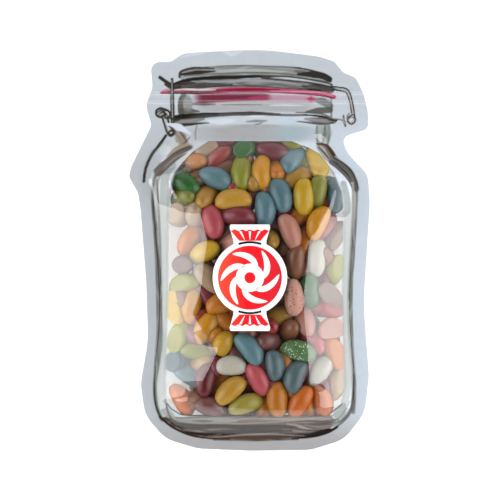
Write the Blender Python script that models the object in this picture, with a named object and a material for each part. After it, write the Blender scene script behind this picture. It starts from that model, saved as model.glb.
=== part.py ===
"""Jar-shaped pouch of jelly beans, lying on its back with the lid end towards +Y.

The pouch is one closed solid: a flat sealed edge cut to the shape of a clip-top jar, a flat header with a
press-to-close ridge pair, and a filled pillow with a flat patch under it where it rests. The label is a thin
solid on the pillow. Sizes are in millimetres here and are written to the meshes in metres.
"""

import math

import bpy
import numpy as np

MM = 0.001

# The die-cut edge: corner points going clockwise from the top of the left tab, each with its fillet radius.
# Zero is the middle of the whole outline, +y is the lid end.
DIE_CUT_CORNERS = (
    ("left tab, upper corner", -47.5, 89.8, 5.0),
    ("notch between tab and crown", -37.8, 89.6, 4.0),
    ("crown, left end", -31.5, 94.0, 10.0),
    ("crown, middle", 5.0, 95.7, 90.0),
    ("crown, right slope", 33.0, 92.3, 30.0),
    ("crown, right end", 40.2, 89.9, 4.0),
    ("notch beside the crown", 44.6, 84.4, 4.0),
    ("right tab, upper corner", 50.6, 82.2, 5.0),
    ("right tab, side", 54.4, 73.5, 20.0),
    ("right tab, side below", 56.3, 65.5, 20.0),
    ("right tab, lower corner", 56.3, 57.4, 3.4),
    ("notch under the right tab", 43.6, 53.8, 3.6),
    ("right shoulder, start", 46.2, 46.2, 12.0),
    ("right shoulder, end", 56.2, 35.8, 9.0),
    ("right side, upper", 57.1, 22.0, 40.0),
    ("right side, waist", 54.0, -26.0, 150.0),
    ("right side, lower", 56.7, -60.0, 30.0),
    ("right base, upper turn", 54.6, -77.6, 16.0),
    ("right base, lower turn", 44.8, -90.3, 15.0),
    ("base, right end", 29.0, -95.2, 20.0),
    ("base, middle", 0.0, -95.6, 100.0),
    ("base, left end", -24.6, -94.6, 20.0),
    ("left base, lower turn", -40.2, -90.0, 16.0),
    ("left base, upper turn", -50.0, -78.6, 16.0),
    ("left side, lower", -52.0, -63.5, 25.0),
    ("left side, waist", -48.4, -43.0, 60.0),
    ("left side, middle", -49.3, -16.0, 150.0),
    ("left side, upper", -52.0, 19.0, 20.0),
    ("left shoulder, notch", -53.2, 27.0, 5.0),
    ("left shoulder, end", -57.7, 35.0, 4.0),
    ("left shoulder, turn", -56.5, 39.6, 4.0),
    ("left hinge, lower", -46.8, 59.4, 4.0),
    ("left hinge, bulge", -49.6, 68.6, 8.0),
    ("left tab, waist", -46.4, 77.6, 8.0),
)
FILLET_STEPS = 8

# Where the three blocks of the surface grid meet, and the four corners of the grid.
HEADER_LEVEL = 78.0
BASE_LEVEL = -75.0
TOP_LEFT_CORNER_X = -46.3
TOP_RIGHT_CORNER_X = 50.2
BASE_LEFT_CORNER_X = -44.6
BASE_RIGHT_CORNER_X = 48.2
COLUMNS = 36
HEADER_ROWS = 6
BASE_ROWS = 7
MIDDLE_ROW_PITCH = 2.85

# Extra rows where the outline runs almost level under the right tab.
NOTCH_LEVELS = (57.6, 56.6, 55.2, 54.0, 52.6)

# The sealed edge and the filled pillow.
SEAL_WIDTH = 5.4
EDGE_THICKNESS = 0.8
SIDE_RUN = 29.0
TOP_RUN = 52.0
FILL_TOP = 65.0
FRONT_RISE = 14.2
FLANGE_HEIGHT = 8.0
HEADER_DROOP = 3.0
BACK_FALL = 11.0
SHOULDER_LEFT = ((-34.5, 60.0), (-47.4, 34.0))
SHOULDER_RIGHT = ((39.3, 60.0), (51.2, 31.0))

# The press-to-close ridges across the header.
ZIP_LEVELS = (74.6, 70.4)
ZIP_HALF_WIDTH = 0.9
ZIP_FLAT_HALF = 0.4
ZIP_HEIGHT = 0.7

# The soft relief of the beans under the front film.
BUMP_PITCH_X = 12.5
BUMP_PITCH_Y = 11.0
BUMP_RADIUS = 5.2
BUMP_HEIGHT = 0.55

# The label on the front: a round wrapped sweet with a fan of wrapper above and below.
LABEL_CENTRE = (0.2, -13.0)
LABEL_ROUND_RADIUS = 17.5
LABEL_HALF_HEIGHT = 25.0
LABEL_FAN_HALF_ANGLE = math.radians(25.0)
LABEL_FAN_BLEND = math.radians(4.0)
LABEL_GAP = 0.3
LABEL_THICKNESS = 0.5
LABEL_RINGS = 6
LABEL_SECTORS = 64


def rounded_outline(corners, steps):
    """Returns the closed outline, centred, each corner replaced by an arc that touches both its sides."""
    points = []
    count = len(corners)
    for i in range(count):
        here = np.array(corners[i][1:3])
        radius = corners[i][3]
        back = np.array(corners[i - 1][1:3]) - here
        ahead = np.array(corners[(i + 1) % count][1:3]) - here
        back_length = np.linalg.norm(back)
        ahead_length = np.linalg.norm(ahead)
        back = back / back_length
        ahead = ahead / ahead_length
        half = 0.5 * math.acos(float(np.clip(back @ ahead, -1.0, 1.0)))
        reach = min(radius / math.tan(half), 0.48 * back_length, 0.48 * ahead_length)
        radius = reach * math.tan(half)
        middle = (back + ahead) / np.linalg.norm(back + ahead)
        centre = here + middle * radius / math.sin(half)
        start = here + back * reach - centre
        end = here + ahead * reach - centre
        turn = math.atan2(start[0] * end[1] - start[1] * end[0], start @ end)
        for k in range(steps + 1):
            angle = turn * k / steps
            c = math.cos(angle)
            s = math.sin(angle)
            points.append((centre[0] + c * start[0] - s * start[1], centre[1] + s * start[0] + c * start[1]))
    points = np.array(points)
    return points - 0.5 * (points.min(axis=0) + points.max(axis=0))


def span_of(outline, first, last):
    """Returns the points of the clockwise outline from one index to another, wrapping round the end."""
    count = len(outline)
    length = (last - first) % count
    return outline[(first + np.arange(length + 1)) % count]


def nearest_index(outline, x, above):
    """Returns the index of the outline point nearest to x, in the upper or the lower half."""
    half = outline[:, 1] > 0 if above else outline[:, 1] < 0
    gap = np.where(half, np.abs(outline[:, 0] - x), 1e9)
    if above:
        gap = np.where(outline[:, 1] > HEADER_LEVEL, gap, 1e9)
    else:
        gap = np.where(outline[:, 1] < BASE_LEVEL, gap, 1e9)
    return int(np.argmin(gap))


def along(points, fractions):
    """Returns the points at these fractions of the length of a path."""
    steps = np.linalg.norm(np.diff(points, axis=0), axis=1)
    length = np.concatenate(([0.0], np.cumsum(steps)))
    length = length / length[-1]
    return np.stack([np.interp(fractions, length, points[:, k]) for k in (0, 1)], axis=1)


def at_height(points, levels):
    """Returns the points of a side of the outline at these heights; the side climbs or falls all the way."""
    order = np.argsort(points[:, 1])
    return np.stack([np.interp(levels, points[order, 1], points[order, 0]), levels], axis=1)


def coons(left, right, lower, upper):
    """Fills a four-sided patch from its edges: left and right run upwards, lower and upper run to the right."""
    u = np.linspace(0.0, 1.0, len(lower))[None, :, None]
    v = np.linspace(0.0, 1.0, len(left))[:, None, None]
    sides = (1 - u) * left[:, None, :] + u * right[:, None, :]
    ends = (1 - v) * lower[None, :, :] + v * upper[None, :, :]
    corners = (1 - u) * (1 - v) * lower[0] + u * (1 - v) * lower[-1]
    corners = corners + (1 - u) * v * upper[0] + u * v * upper[-1]
    return sides + ends - corners


def middle_levels():
    """Returns the heights of the rows of the middle block, with rows on the zip ridges and in the notch."""
    ridge = []
    for level in ZIP_LEVELS:
        ridge += [level - ZIP_HALF_WIDTH, level - ZIP_FLAT_HALF, level + ZIP_FLAT_HALF, level + ZIP_HALF_WIDTH]
    lowest_ridge = min(ridge) - 1.2
    count = round((lowest_ridge - BASE_LEVEL) / MIDDLE_ROW_PITCH)
    regular = np.linspace(BASE_LEVEL, lowest_ridge, count + 1)
    clear = (regular < min(NOTCH_LEVELS) - 1.0) | (regular > max(NOTCH_LEVELS) + 1.0)
    return np.sort(np.concatenate((regular[clear], NOTCH_LEVELS, ridge, [HEADER_LEVEL])))


def surface_grid(outline):
    """Returns the grid of (x, y) points that covers the outline, rows from the base to the crown."""
    top_left = nearest_index(outline, TOP_LEFT_CORNER_X, True)
    top_right = nearest_index(outline, TOP_RIGHT_CORNER_X, True)
    base_right = nearest_index(outline, BASE_RIGHT_CORNER_X, False)
    base_left = nearest_index(outline, BASE_LEFT_CORNER_X, False)
    crown = span_of(outline, top_left, top_right)
    right = span_of(outline, top_right, base_right)
    base = span_of(outline, base_right, base_left)[::-1]
    left = span_of(outline, base_left, top_left)
    even = np.linspace(0.0, 1.0, COLUMNS + 1)
    levels = middle_levels()
    left_side = at_height(left, levels)
    right_side = at_height(right, levels)
    across = (1 - even)[None, :, None] * left_side[:, None, :] + even[None, :, None] * right_side[:, None, :]
    header_left = at_height(left, np.linspace(HEADER_LEVEL, left[:, 1].max(), HEADER_ROWS + 1))
    header_right = at_height(right, np.linspace(HEADER_LEVEL, right[:, 1].max(), HEADER_ROWS + 1))
    header = coons(header_left, header_right, across[-1], along(crown, even))
    base_left_side = at_height(left, np.linspace(left[:, 1].min(), BASE_LEVEL, BASE_ROWS + 1))
    base_right_side = at_height(right, np.linspace(right[:, 1].min(), BASE_LEVEL, BASE_ROWS + 1))
    foot = coons(base_left_side, base_right_side, along(base, even), across[0])
    return np.concatenate((foot[:-1], across, header[1:]), axis=0)


def edge_distance(points, outline):
    """Returns how far each point is from the die-cut edge."""
    start = outline
    side = np.roll(outline, -1, axis=0) - start
    length = np.maximum((side**2).sum(axis=1), 1e-12)
    offset = points[:, None, :] - start[None, :, :]
    share = np.clip((offset * side[None]).sum(axis=2) / length, 0.0, 1.0)
    gap = offset - share[..., None] * side[None]
    return np.sqrt((gap**2).sum(axis=2)).min(axis=1)


def beside_line(x, y, line, inward):
    """Returns the distance of a point inwards from a straight line given by two points."""
    (x0, y0), (x1, y1) = line
    run = math.hypot(x1 - x0, y1 - y0)
    return inward * ((x - x0) * (y1 - y0) - (y - y0) * (x1 - x0)) / run


def smooth_least(values, sharpness):
    """Returns a rounded least of several positive fields."""
    total = sum(np.maximum(v, 1e-4) ** -sharpness for v in values)
    return total ** (-1.0 / sharpness)


def fill_share(x, y, edge):
    """Returns how far the pillow has swollen, from 0 at the seal and the zip to 1 in the middle."""
    side = (edge - SEAL_WIDTH) / SIDE_RUN
    left = beside_line(x, y, SHOULDER_LEFT, -1.0) / SIDE_RUN
    right = beside_line(x, y, SHOULDER_RIGHT, 1.0) / SIDE_RUN
    top = (FILL_TOP - y) / TOP_RUN
    share = smooth_least((side, left, right, top), 5.0)
    return np.sin(0.5 * math.pi * np.clip(share, 0.0, 1.0))


def flange_level(y):
    """Returns the height of the sealed film: level beside the pillow, drooping along the header."""
    share = np.clip((y - 45.0) / 50.0, 0.0, 1.0)
    return FLANGE_HEIGHT - HEADER_DROOP * share * share


def zip_relief(y):
    """Returns the height of the two press-to-close ridges."""
    height = np.zeros_like(y)
    for level in ZIP_LEVELS:
        slope = (ZIP_HALF_WIDTH - np.abs(y - level)) / (ZIP_HALF_WIDTH - ZIP_FLAT_HALF)
        height = height + ZIP_HEIGHT * np.clip(slope, 0.0, 1.0)
    return height


def bean_relief(x, y, fill):
    """Returns the soft bumps of the beans: a staggered lattice of round rises that fades towards the seal."""
    row = np.round(y / BUMP_PITCH_Y)
    shift = 0.5 * BUMP_PITCH_X * np.mod(row, 2.0)
    column = np.round((x - shift) / BUMP_PITCH_X)
    dx = x - shift - column * BUMP_PITCH_X
    dy = y - row * BUMP_PITCH_Y
    rise = np.clip(1.0 - (dx * dx + dy * dy) / BUMP_RADIUS**2, 0.0, 1.0)
    return BUMP_HEIGHT * rise * np.clip((fill - 0.5) / 0.3, 0.0, 1.0)


def under_label(x, y):
    """Returns 1 well away from the label and 0 under it, so that the film is smooth where the label lies."""
    gap = np.hypot(x - LABEL_CENTRE[0], (y - LABEL_CENTRE[1]) * LABEL_ROUND_RADIUS / LABEL_HALF_HEIGHT)
    return np.clip((gap - LABEL_ROUND_RADIUS * 1.22) / 4.0, 0.0, 1.0)


def front_height(x, y, edge):
    """Returns the height of the front film without the beans' relief."""
    fill = fill_share(x, y, edge)
    return flange_level(y) + EDGE_THICKNESS + FRONT_RISE * fill


def back_height(x, y, edge):
    """Returns the height of the back film: it falls from the seal and is pressed flat where it rests."""
    fill = fill_share(x, y, edge)
    return np.maximum(flange_level(y) - BACK_FALL * fill, 0.0)


def principled(name, colour, roughness):
    """Makes a material with one Principled shader."""
    material = bpy.data.materials.new(name)
    material.use_nodes = True
    shader = material.node_tree.nodes["Principled BSDF"]
    shader.inputs["Base Color"].default_value = (*colour, 1.0)
    shader.inputs["Roughness"].default_value = roughness
    return material


def add_object(name, points, faces, material):
    """Makes a named object from points in millimetres and faces."""
    mesh = bpy.data.meshes.new(name)
    mesh.from_pydata((np.asarray(points) * MM).tolist(), [], [tuple(int(i) for i in face) for face in faces])
    mesh.materials.append(material)
    mesh.validate()
    mesh.update()
    found = bpy.data.objects.new(name, mesh)
    bpy.context.scene.collection.objects.link(found)
    return found


def grid_faces(rows, columns, start, flip):
    """Returns the quads of a grid of points, facing up, or down when flipped."""
    r, c = np.meshgrid(np.arange(rows - 1), np.arange(columns - 1), indexing="ij")
    a = (start + r * columns + c).ravel()
    quads = np.stack((a, a + 1, a + columns + 1, a + columns), axis=1)
    return quads[:, ::-1] if flip else quads


def rim_loop(rows, columns):
    """Returns the indices round the edge of a grid, anticlockwise from its first point."""
    first = np.arange(columns)
    right = np.arange(1, rows) * columns + columns - 1
    last = (rows - 1) * columns + np.arange(columns - 2, -1, -1)
    left = np.arange(rows - 2, 0, -1) * columns
    return np.concatenate((first, right, last, left))


def build_pouch(outline):
    """Builds the pouch as one closed solid."""
    grid = surface_grid(outline)
    rows, columns = grid.shape[:2]
    flat = grid.reshape(-1, 2)
    x = flat[:, 0]
    y = flat[:, 1]
    edge = edge_distance(flat, outline)
    fill = fill_share(x, y, edge)
    top = front_height(x, y, edge) + bean_relief(x, y, fill) * under_label(x, y) + zip_relief(y)
    base = back_height(x, y, edge)
    points = np.concatenate((np.column_stack((x, y, top)), np.column_stack((x, y, base))))
    count = rows * columns
    loop = rim_loop(rows, columns)
    ahead = np.roll(loop, -1)
    rim = np.stack((loop, loop + count, ahead + count, ahead), axis=1)
    faces = np.concatenate((grid_faces(rows, columns, 0, False), grid_faces(rows, columns, count, True), rim))
    return add_object("pouch", points, faces, principled("pouch film", (0.56, 0.62, 0.66), 0.25))


def label_reach(angle):
    """Returns the label's reach at an angle: a circle, with a flat-ended fan above and below."""
    off = np.abs(np.mod(angle, math.pi) - 0.5 * math.pi)
    blend = np.clip((LABEL_FAN_HALF_ANGLE - off) / LABEL_FAN_BLEND, 0.0, 1.0)
    blend = blend * blend * (3.0 - 2.0 * blend)
    fan = LABEL_HALF_HEIGHT / np.cos(np.minimum(off, LABEL_FAN_HALF_ANGLE))
    return LABEL_ROUND_RADIUS + (fan - LABEL_ROUND_RADIUS) * blend


def build_label(outline):
    """Builds the label as a thin solid that follows the front film just above it."""
    angle = np.arange(LABEL_SECTORS) * 2.0 * math.pi / LABEL_SECTORS
    reach = label_reach(angle)
    share = np.arange(1, LABEL_RINGS + 1) / LABEL_RINGS
    x = np.concatenate(([0.0], (share[:, None] * reach[None] * np.cos(angle)[None]).ravel())) + LABEL_CENTRE[0]
    y = np.concatenate(([0.0], (share[:, None] * reach[None] * np.sin(angle)[None]).ravel())) + LABEL_CENTRE[1]
    edge = edge_distance(np.column_stack((x, y)), outline)
    under = front_height(x, y, edge) + LABEL_GAP
    count = len(x)
    points = np.concatenate((np.column_stack((x, y, under + LABEL_THICKNESS)), np.column_stack((x, y, under))))
    faces = []
    for k in range(LABEL_SECTORS):
        n = (k + 1) % LABEL_SECTORS
        faces.append((0, 1 + k, 1 + n))
        faces.append((count, count + 1 + n, count + 1 + k))
        for ring in range(LABEL_RINGS - 1):
            a = 1 + ring * LABEL_SECTORS
            b = a + LABEL_SECTORS
            faces.append((a + k, b + k, b + n, a + n))
            faces.append((count + a + k, count + a + n, count + b + n, count + b + k))
        last = 1 + (LABEL_RINGS - 1) * LABEL_SECTORS
        faces.append((last + k, count + last + k, count + last + n, last + n))
    return add_object("label", points, faces, principled("label print", (0.80, 0.10, 0.08), 0.35))


def main():
    """Empties the scene and builds the pouch and its label."""
    for found in list(bpy.data.objects):
        bpy.data.objects.remove(found, do_unlink=True)
    outline = rounded_outline(DIE_CUT_CORNERS, FILLET_STEPS)
    build_pouch(outline)
    build_label(outline)


main()
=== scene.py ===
"""Dresses the jar-shaped pouch: clear film, the jar printed on it, the jelly beans inside and the label."""
from __future__ import annotations

import logging
import math
from dataclasses import dataclass
from enum import Enum
from functools import partial

import bpy
import numpy as np
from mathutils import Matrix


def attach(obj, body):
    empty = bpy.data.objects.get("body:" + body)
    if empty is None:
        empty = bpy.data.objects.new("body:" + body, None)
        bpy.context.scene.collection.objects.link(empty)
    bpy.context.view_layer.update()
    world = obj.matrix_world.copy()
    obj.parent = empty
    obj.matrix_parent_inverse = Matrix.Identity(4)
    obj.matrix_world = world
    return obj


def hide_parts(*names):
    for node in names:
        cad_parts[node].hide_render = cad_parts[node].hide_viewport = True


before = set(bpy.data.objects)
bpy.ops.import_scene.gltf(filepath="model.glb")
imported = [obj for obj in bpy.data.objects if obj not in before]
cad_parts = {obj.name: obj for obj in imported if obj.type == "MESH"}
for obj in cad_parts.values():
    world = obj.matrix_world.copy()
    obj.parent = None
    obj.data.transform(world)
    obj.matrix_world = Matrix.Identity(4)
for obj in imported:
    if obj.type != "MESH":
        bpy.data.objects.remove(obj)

LOG = logging.getLogger("pouch")
MM = 0.001
Array = np.ndarray
Point = tuple[float, float]
AT_ONCE = 15000  # points that are measured against a path at a time, which keeps memory small


def to_light(value: Array) -> Array:
    """Turns sRGB values from 0 to 1 into linear light: a straight foot, then the power 2.4."""
    return np.where(value <= 0.04045, value / 12.92, ((value + 0.055) / 1.055) ** 2.4)


def shown(code: str) -> Array:
    """Reads six hex digits as three sRGB values from 0 to 1."""
    return np.array([int(code[i:i + 2], 16) for i in (0, 2, 4)]) / 255.0


def linear(code: str) -> Array:
    """Turns an sRGB hex colour into linear light."""
    return to_light(shown(code))


def step_up(value: Array) -> Array:
    """Eases a number from 0 to 1: three times its square less twice its cube."""
    share = np.clip(value, 0.0, 1.0)
    return share * share * (3.0 - 2.0 * share)


def eased(value: Array, start: float, end: float) -> Array:
    """Eases from 0 where the value is at the start to 1 where it is at the end."""
    return step_up((value - start) / (end - start))


def rounded_least(a: Array, b: Array, reach: float) -> Array:
    """Takes the lesser of two fields, rounding the corner where they are within reach of each other."""
    near = np.clip(0.5 + 0.5 * (b - a) / reach, 0.0, 1.0)
    return b + (a - b) * near - reach * near * (1.0 - near)


def smooth_path(known: Array, steps: int) -> Array:
    """Carries a curve through points: on each span the Catmull-Rom cubic of the four points round it.

    Args:
        known: the points passed through, as (x, y).
        steps: how many pieces each span gets.

    Returns:
        The curve as an array of (x, y).
    """
    held = np.concatenate((known[:1], known, known[-1:]))
    t = (np.arange(steps) / steps)[None, :, None]
    a, b, c, d = (held[k:len(held) - 3 + k, None, :] for k in range(4))
    curve = 0.5 * (2 * b + (c - a) * t + (2 * a - 5 * b + 4 * c - d) * t**2 + (3 * b - a - 3 * c + d) * t**3)
    return np.concatenate((curve.reshape(-1, 2), known[-1:]))


def near_path(x: Array, y: Array, path: Array) -> tuple[Array, Array]:
    """Measures points against a path, taking the nearest of its straight pieces.

    Args:
        x: the points' x.
        y: the points' y.
        path: the path's points.

    Returns:
        The distance, and the share of the path's length at the nearest place.
    """
    start, side = path[:-1], np.diff(path, axis=0)
    length = np.maximum(np.hypot(side[:, 0], side[:, 1]), 1e-9)
    before = np.concatenate(([0.0], np.cumsum(length)))
    gaps, shares = [], []
    for some in np.array_split(np.arange(len(x)), len(x) // AT_ONCE + 1):
        dx, dy = x[some, None] - start[None, :, 0], y[some, None] - start[None, :, 1]
        share = np.clip((dx * side[:, 0] + dy * side[:, 1]) / length**2, 0.0, 1.0)
        gap = np.hypot(dx - share * side[:, 0], dy - share * side[:, 1])
        best, rows = gap.argmin(axis=1), np.arange(len(some))
        gaps.append(gap[rows, best])
        shares.append((before[best] + share[rows, best] * length[best]) / before[-1])
    return np.concatenate(gaps), np.concatenate(shares)


def new_piece(name: str, points: Array, faces: list, finish: bpy.types.Material) -> bpy.types.Object:
    """Makes a smooth-shaded piece whose place is in its mesh.

    Args:
        name: the piece's name.
        points: its vertices in millimetres.
        faces: arrays of triangles and of quads, as vertex numbers.
        finish: its material.

    Returns:
        The new object, riding on the part's one body.
    """
    mesh = bpy.data.meshes.new(name)
    loose = [tuple(face) for group in faces for face in np.asarray(group).tolist()]
    mesh.from_pydata((points * MM).tolist(), [], loose)
    mesh.polygons.foreach_set("use_smooth", np.ones(len(mesh.polygons), dtype=bool))
    mesh.materials.append(finish)
    mesh.update()
    piece = bpy.data.objects.new(name, mesh)
    bpy.context.scene.collection.objects.link(piece)
    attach(piece, "root")
    LOG.info("%s: %d faces", name, len(mesh.polygons))
    return piece


def grid_faces(rows: int, columns: int, start: int = 0, flip: bool = False) -> Array:
    """Joins a grid of vertices with quads that face up, or down when flipped.

    Args:
        rows: rows of vertices.
        columns: vertices in a row.
        start: the first vertex's number.
        flip: True to face down.

    Returns:
        The quads as vertex numbers.
    """
    r, c = np.meshgrid(np.arange(rows - 1), np.arange(columns - 1), indexing="ij")
    a = (start + r * columns + c).ravel()
    quads = np.stack((a, a + 1, a + columns + 1, a + columns), axis=1)
    return quads[:, ::-1] if flip else quads


def set_stops(band: bpy.types.ColorRamp, stops: tuple[tuple[float, Array], ...]) -> None:
    """Sets a band of colour by stops of (place, linear colour).

    Args:
        band: the band.
        stops: its stops.
    """
    while len(band.elements) < len(stops):
        band.elements.new(0.5)
    for element, (place, colour) in zip(band.elements, stops):
        element.position = place
        element.color = (*np.broadcast_to(colour, 3), 1.0)


def add_node(tree: bpy.types.NodeTree, kind: str, settings: dict | None = None, **inputs: object) -> bpy.types.Node:
    """Adds a shader node.

    Args:
        tree: the node tree.
        kind: the node's type without its ShaderNode prefix.
        settings: properties to set on it; stops are those of its band of colour.
        inputs: its sockets by name, with _ for a space; a socket as value is linked, any other is set.

    Returns:
        The node.
    """
    made = tree.nodes.new("ShaderNode" + kind)
    for key, value in (settings or {}).items():
        if key == "stops":
            set_stops(made.color_ramp, value)
        else:
            setattr(made, key, value)
    for key, value in inputs.items():
        socket = made.inputs[int(key[1:])] if key[1:].isdigit() else made.inputs[key.replace("_", " ")]
        if isinstance(value, bpy.types.NodeSocket):
            tree.links.new(value, socket)
        else:
            socket.default_value = value
    return made


class Recipe:
    """A material being made: its nodes, the places on its piece, and the mottle and relief that finishes share."""

    def __init__(self, name: str) -> None:
        """Starts an empty material."""
        self.made = bpy.data.materials.new(name)
        self.made.use_nodes = True
        self.made.node_tree.nodes.clear()
        self.add = partial(add_node, self.made.node_tree)
        self.place = self.add("TexCoord").outputs["Object"]

    def mottle(self, size_mm: float, detail: float, share: float) -> bpy.types.NodeSocket:
        """Gives a factor that wanders a share up and down from 1, in clouds of a real size."""
        cloud = self.add("TexNoise", Vector=self.place, Scale=1.0 / (size_mm * MM), Detail=detail)
        return self.add("MapRange", Value=cloud.outputs["Fac"], From_Min=0.3, From_Max=0.7,
                        To_Min=1.0 - share, To_Max=1.0 + share).outputs[0]

    def relief(self, size_mm: float, detail: float, depth_mm: float) -> bpy.types.NodeSocket:
        """Gives the normals of a faint relief, a twentieth of its depth, with bumps of a real size."""
        grain = self.add("TexNoise", Vector=self.place, Scale=1.0 / (size_mm * MM), Detail=detail)
        return self.add("Bump", Height=grain.outputs["Fac"], Strength=0.05, Distance=depth_mm * MM).outputs[0]

    def end(self, surface: bpy.types.NodeSocket) -> bpy.types.Material:
        """Shows the surface, and hands over the material."""
        self.add("OutputMaterial", Surface=surface)
        return self.made


# ---- finishes


@dataclass(frozen=True)
class ClearFilm:
    """Polyester and polyethylene laminate, cast and rolled smooth: clear, with sharp window-like reflections."""

    straight_on: float = 0.072  # both faces of the film reflect, so its one surface gets about twice the 4 %
    roughness: float = 0.035
    ripple_mm: float = 16.0
    ripple_depth_mm: float = 1.2
    tint: str = "F8F8F8"

    def make(self) -> bpy.types.Material:
        """Builds the material: reflection grows with the fifth power of slant, and the rest goes straight through.

        Returns:
            The material.
        """
        mix = Recipe("Clear polyester laminate")
        bump = mix.relief(self.ripple_mm, 1.5, self.ripple_depth_mm)
        gloss = mix.add("BsdfGlossy", Color=(1, 1, 1, 1), Roughness=self.roughness, Normal=bump)
        clear = mix.add("BsdfTransparent", Color=(*linear(self.tint), 1.0))
        slant = mix.add("LayerWeight", Blend=0.5, Normal=bump).outputs["Facing"]
        steep = mix.add("Math", {"operation": "POWER"}, _0=slant, _1=5.0)
        shine = mix.add("Math", {"operation": "MULTIPLY_ADD"}, _0=steep.outputs[0],
                        _1=1.0 - self.straight_on, _2=self.straight_on)
        mixed = mix.add("MixShader", _0=shine.outputs[0], _1=clear.outputs[0], _2=gloss.outputs[0])
        return mix.end(mixed.outputs[0])


@dataclass(frozen=True)
class PrintedInk:
    """Flexographic ink under the laminate: flat and matte by itself, with a faint mottle from the rollers."""

    mottle_mm: float = 2.5
    mottle_share: float = 0.02
    roughness: float = 0.55

    def make(self) -> bpy.types.Material:
        """Builds the material: colour and cover come from the sheet's own ink attribute.

        Returns:
            The material.
        """
        mix = Recipe("Flexographic print")
        ink = mix.add("Attribute", {"attribute_name": "ink"})
        toned = mix.add("VectorMath", {"operation": "SCALE"}, _0=ink.outputs["Color"],
                        Scale=mix.mottle(self.mottle_mm, 3.0, self.mottle_share))
        body = mix.add("BsdfPrincipled", Base_Color=toned.outputs[0], Roughness=self.roughness,
                       Alpha=ink.outputs["Alpha"], Specular_IOR_Level=0.15)
        return mix.end(body.outputs[0])


@dataclass(frozen=True)
class SugarShell:
    """A jelly bean: panned sugar shell polished with wax over soft jelly, so it glows a little and shines softly."""

    name: str
    colour: str
    speck: str | None = None
    speck_share: float = 0.36
    speck_mm: float = 1.1
    speck_cloud_mm: float = 3.0
    roughness: float = 0.26
    grain_mm: float = 2.2
    grain_share: float = 0.04
    skin_mm: float = 0.9
    skin_depth_mm: float = 0.2
    glow_depth_mm: float = 4.0

    def make(self) -> bpy.types.Material:
        """Builds the material: mottled colour, a tint for each bean, specks if it has them, and a fine skin.

        Returns:
            The material.
        """
        mix = Recipe("Panned sugar shell, " + self.name)
        tint = mix.add("Attribute", {"attribute_name": "tint"}).outputs["Fac"]
        grain = mix.mottle(self.grain_mm, 2.0, self.grain_share)
        level = mix.add("Math", {"operation": "MULTIPLY"}, _0=grain, _1=tint).outputs[0]
        colour = mix.add("VectorMath", {"operation": "SCALE"}, _0=tuple(linear(self.colour)), Scale=level).outputs[0]
        if self.speck:
            colour = self.specked(mix, colour)
        body = mix.add("BsdfPrincipled", Base_Color=colour, Roughness=self.roughness, IOR=1.42,
                       Specular_IOR_Level=0.55, Subsurface_Weight=1.0, Subsurface_Radius=(1.0, 0.8, 0.6),
                       Subsurface_Scale=self.glow_depth_mm * MM,
                       Normal=mix.relief(self.skin_mm, 2.0, self.skin_depth_mm))
        return mix.end(body.outputs[0])

    def specked(self, mix: Recipe, colour: bpy.types.NodeSocket) -> bpy.types.NodeSocket:
        """Lays round specks over a colour, more in some places than in others.

        Args:
            mix: the material being made.
            colour: the colour under the specks.

        Returns:
            The colour's socket.
        """
        dots = mix.add("TexVoronoi", Vector=mix.place, Scale=1.0 / (self.speck_mm * MM), Randomness=1.0)
        edge = {"stops": ((self.speck_share * 0.55, np.ones(3)), (self.speck_share, np.zeros(3)))}
        spot = mix.add("ValToRGB", edge, _0=dots.outputs["Distance"])
        cloud = mix.add("TexNoise", Vector=mix.place, Scale=1.0 / (self.speck_cloud_mm * MM), Detail=0.0)
        thick = {"stops": ((0.45, np.zeros(3)), (0.56, np.ones(3)))}
        where = mix.add("ValToRGB", thick, _0=cloud.outputs["Fac"])
        both = mix.add("Math", {"operation": "MULTIPLY"}, _0=spot.outputs["Color"], _1=where.outputs["Color"])
        return mix.add("MixRGB", Fac=both.outputs[0], Color1=colour, Color2=(*linear(self.speck), 1.0)).outputs[0]


@dataclass(frozen=True)
class StickerPrint:
    """Gloss vinyl sticker, screen printed: flat even colour that deepens from left to right, and a clear shine."""

    name: str
    left: str
    middle: str
    right: str
    half_width: float = 15.0
    roughness: float = 0.28
    grain_mm: float = 0.8
    grain_depth_mm: float = 0.1

    def make(self) -> bpy.types.Material:
        """Builds the material: three colours blended across the label's own width.

        Returns:
            The material.
        """
        mix = Recipe("Gloss vinyl, " + self.name)
        split = mix.add("SeparateXYZ", Vector=mix.place)
        share = mix.add("MapRange", Value=split.outputs["X"], From_Min=-self.half_width * MM,
                        From_Max=self.half_width * MM)
        stops = ((0.0, linear(self.left)), (0.45, linear(self.middle)), (1.0, linear(self.right)))
        colour = mix.add("ValToRGB", {"stops": stops}, _0=share.outputs[0])
        body = mix.add("BsdfPrincipled", Base_Color=colour.outputs["Color"], Roughness=self.roughness,
                       Specular_IOR_Level=0.4, Normal=mix.relief(self.grain_mm, 2.0, self.grain_depth_mm))
        return mix.end(body.outputs[0])


@dataclass(frozen=True)
class SweepPaper:
    """Matte white studio paper, brightly lit and glowing a little of its own, so that it stays white in the pouch's
    own soft shadow.
    """

    colour: str = "F2F2F2"
    glow: float = 0.30
    tooth_mm: float = 1.0 / 1.2
    tooth_depth_mm: float = 0.1

    def make(self) -> bpy.types.Material:
        """Builds the material: paper with a fine tooth and a little light of its own.

        Returns:
            The material.
        """
        mix = Recipe("White studio paper")
        body = mix.add("BsdfPrincipled", Base_Color=(*linear(self.colour), 1.0), Roughness=0.9,
                       Specular_IOR_Level=0.1, Emission_Color=(1, 1, 1, 1), Emission_Strength=self.glow,
                       Normal=mix.relief(self.tooth_mm, 2.0, self.tooth_depth_mm))
        return mix.end(body.outputs[0])


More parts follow.
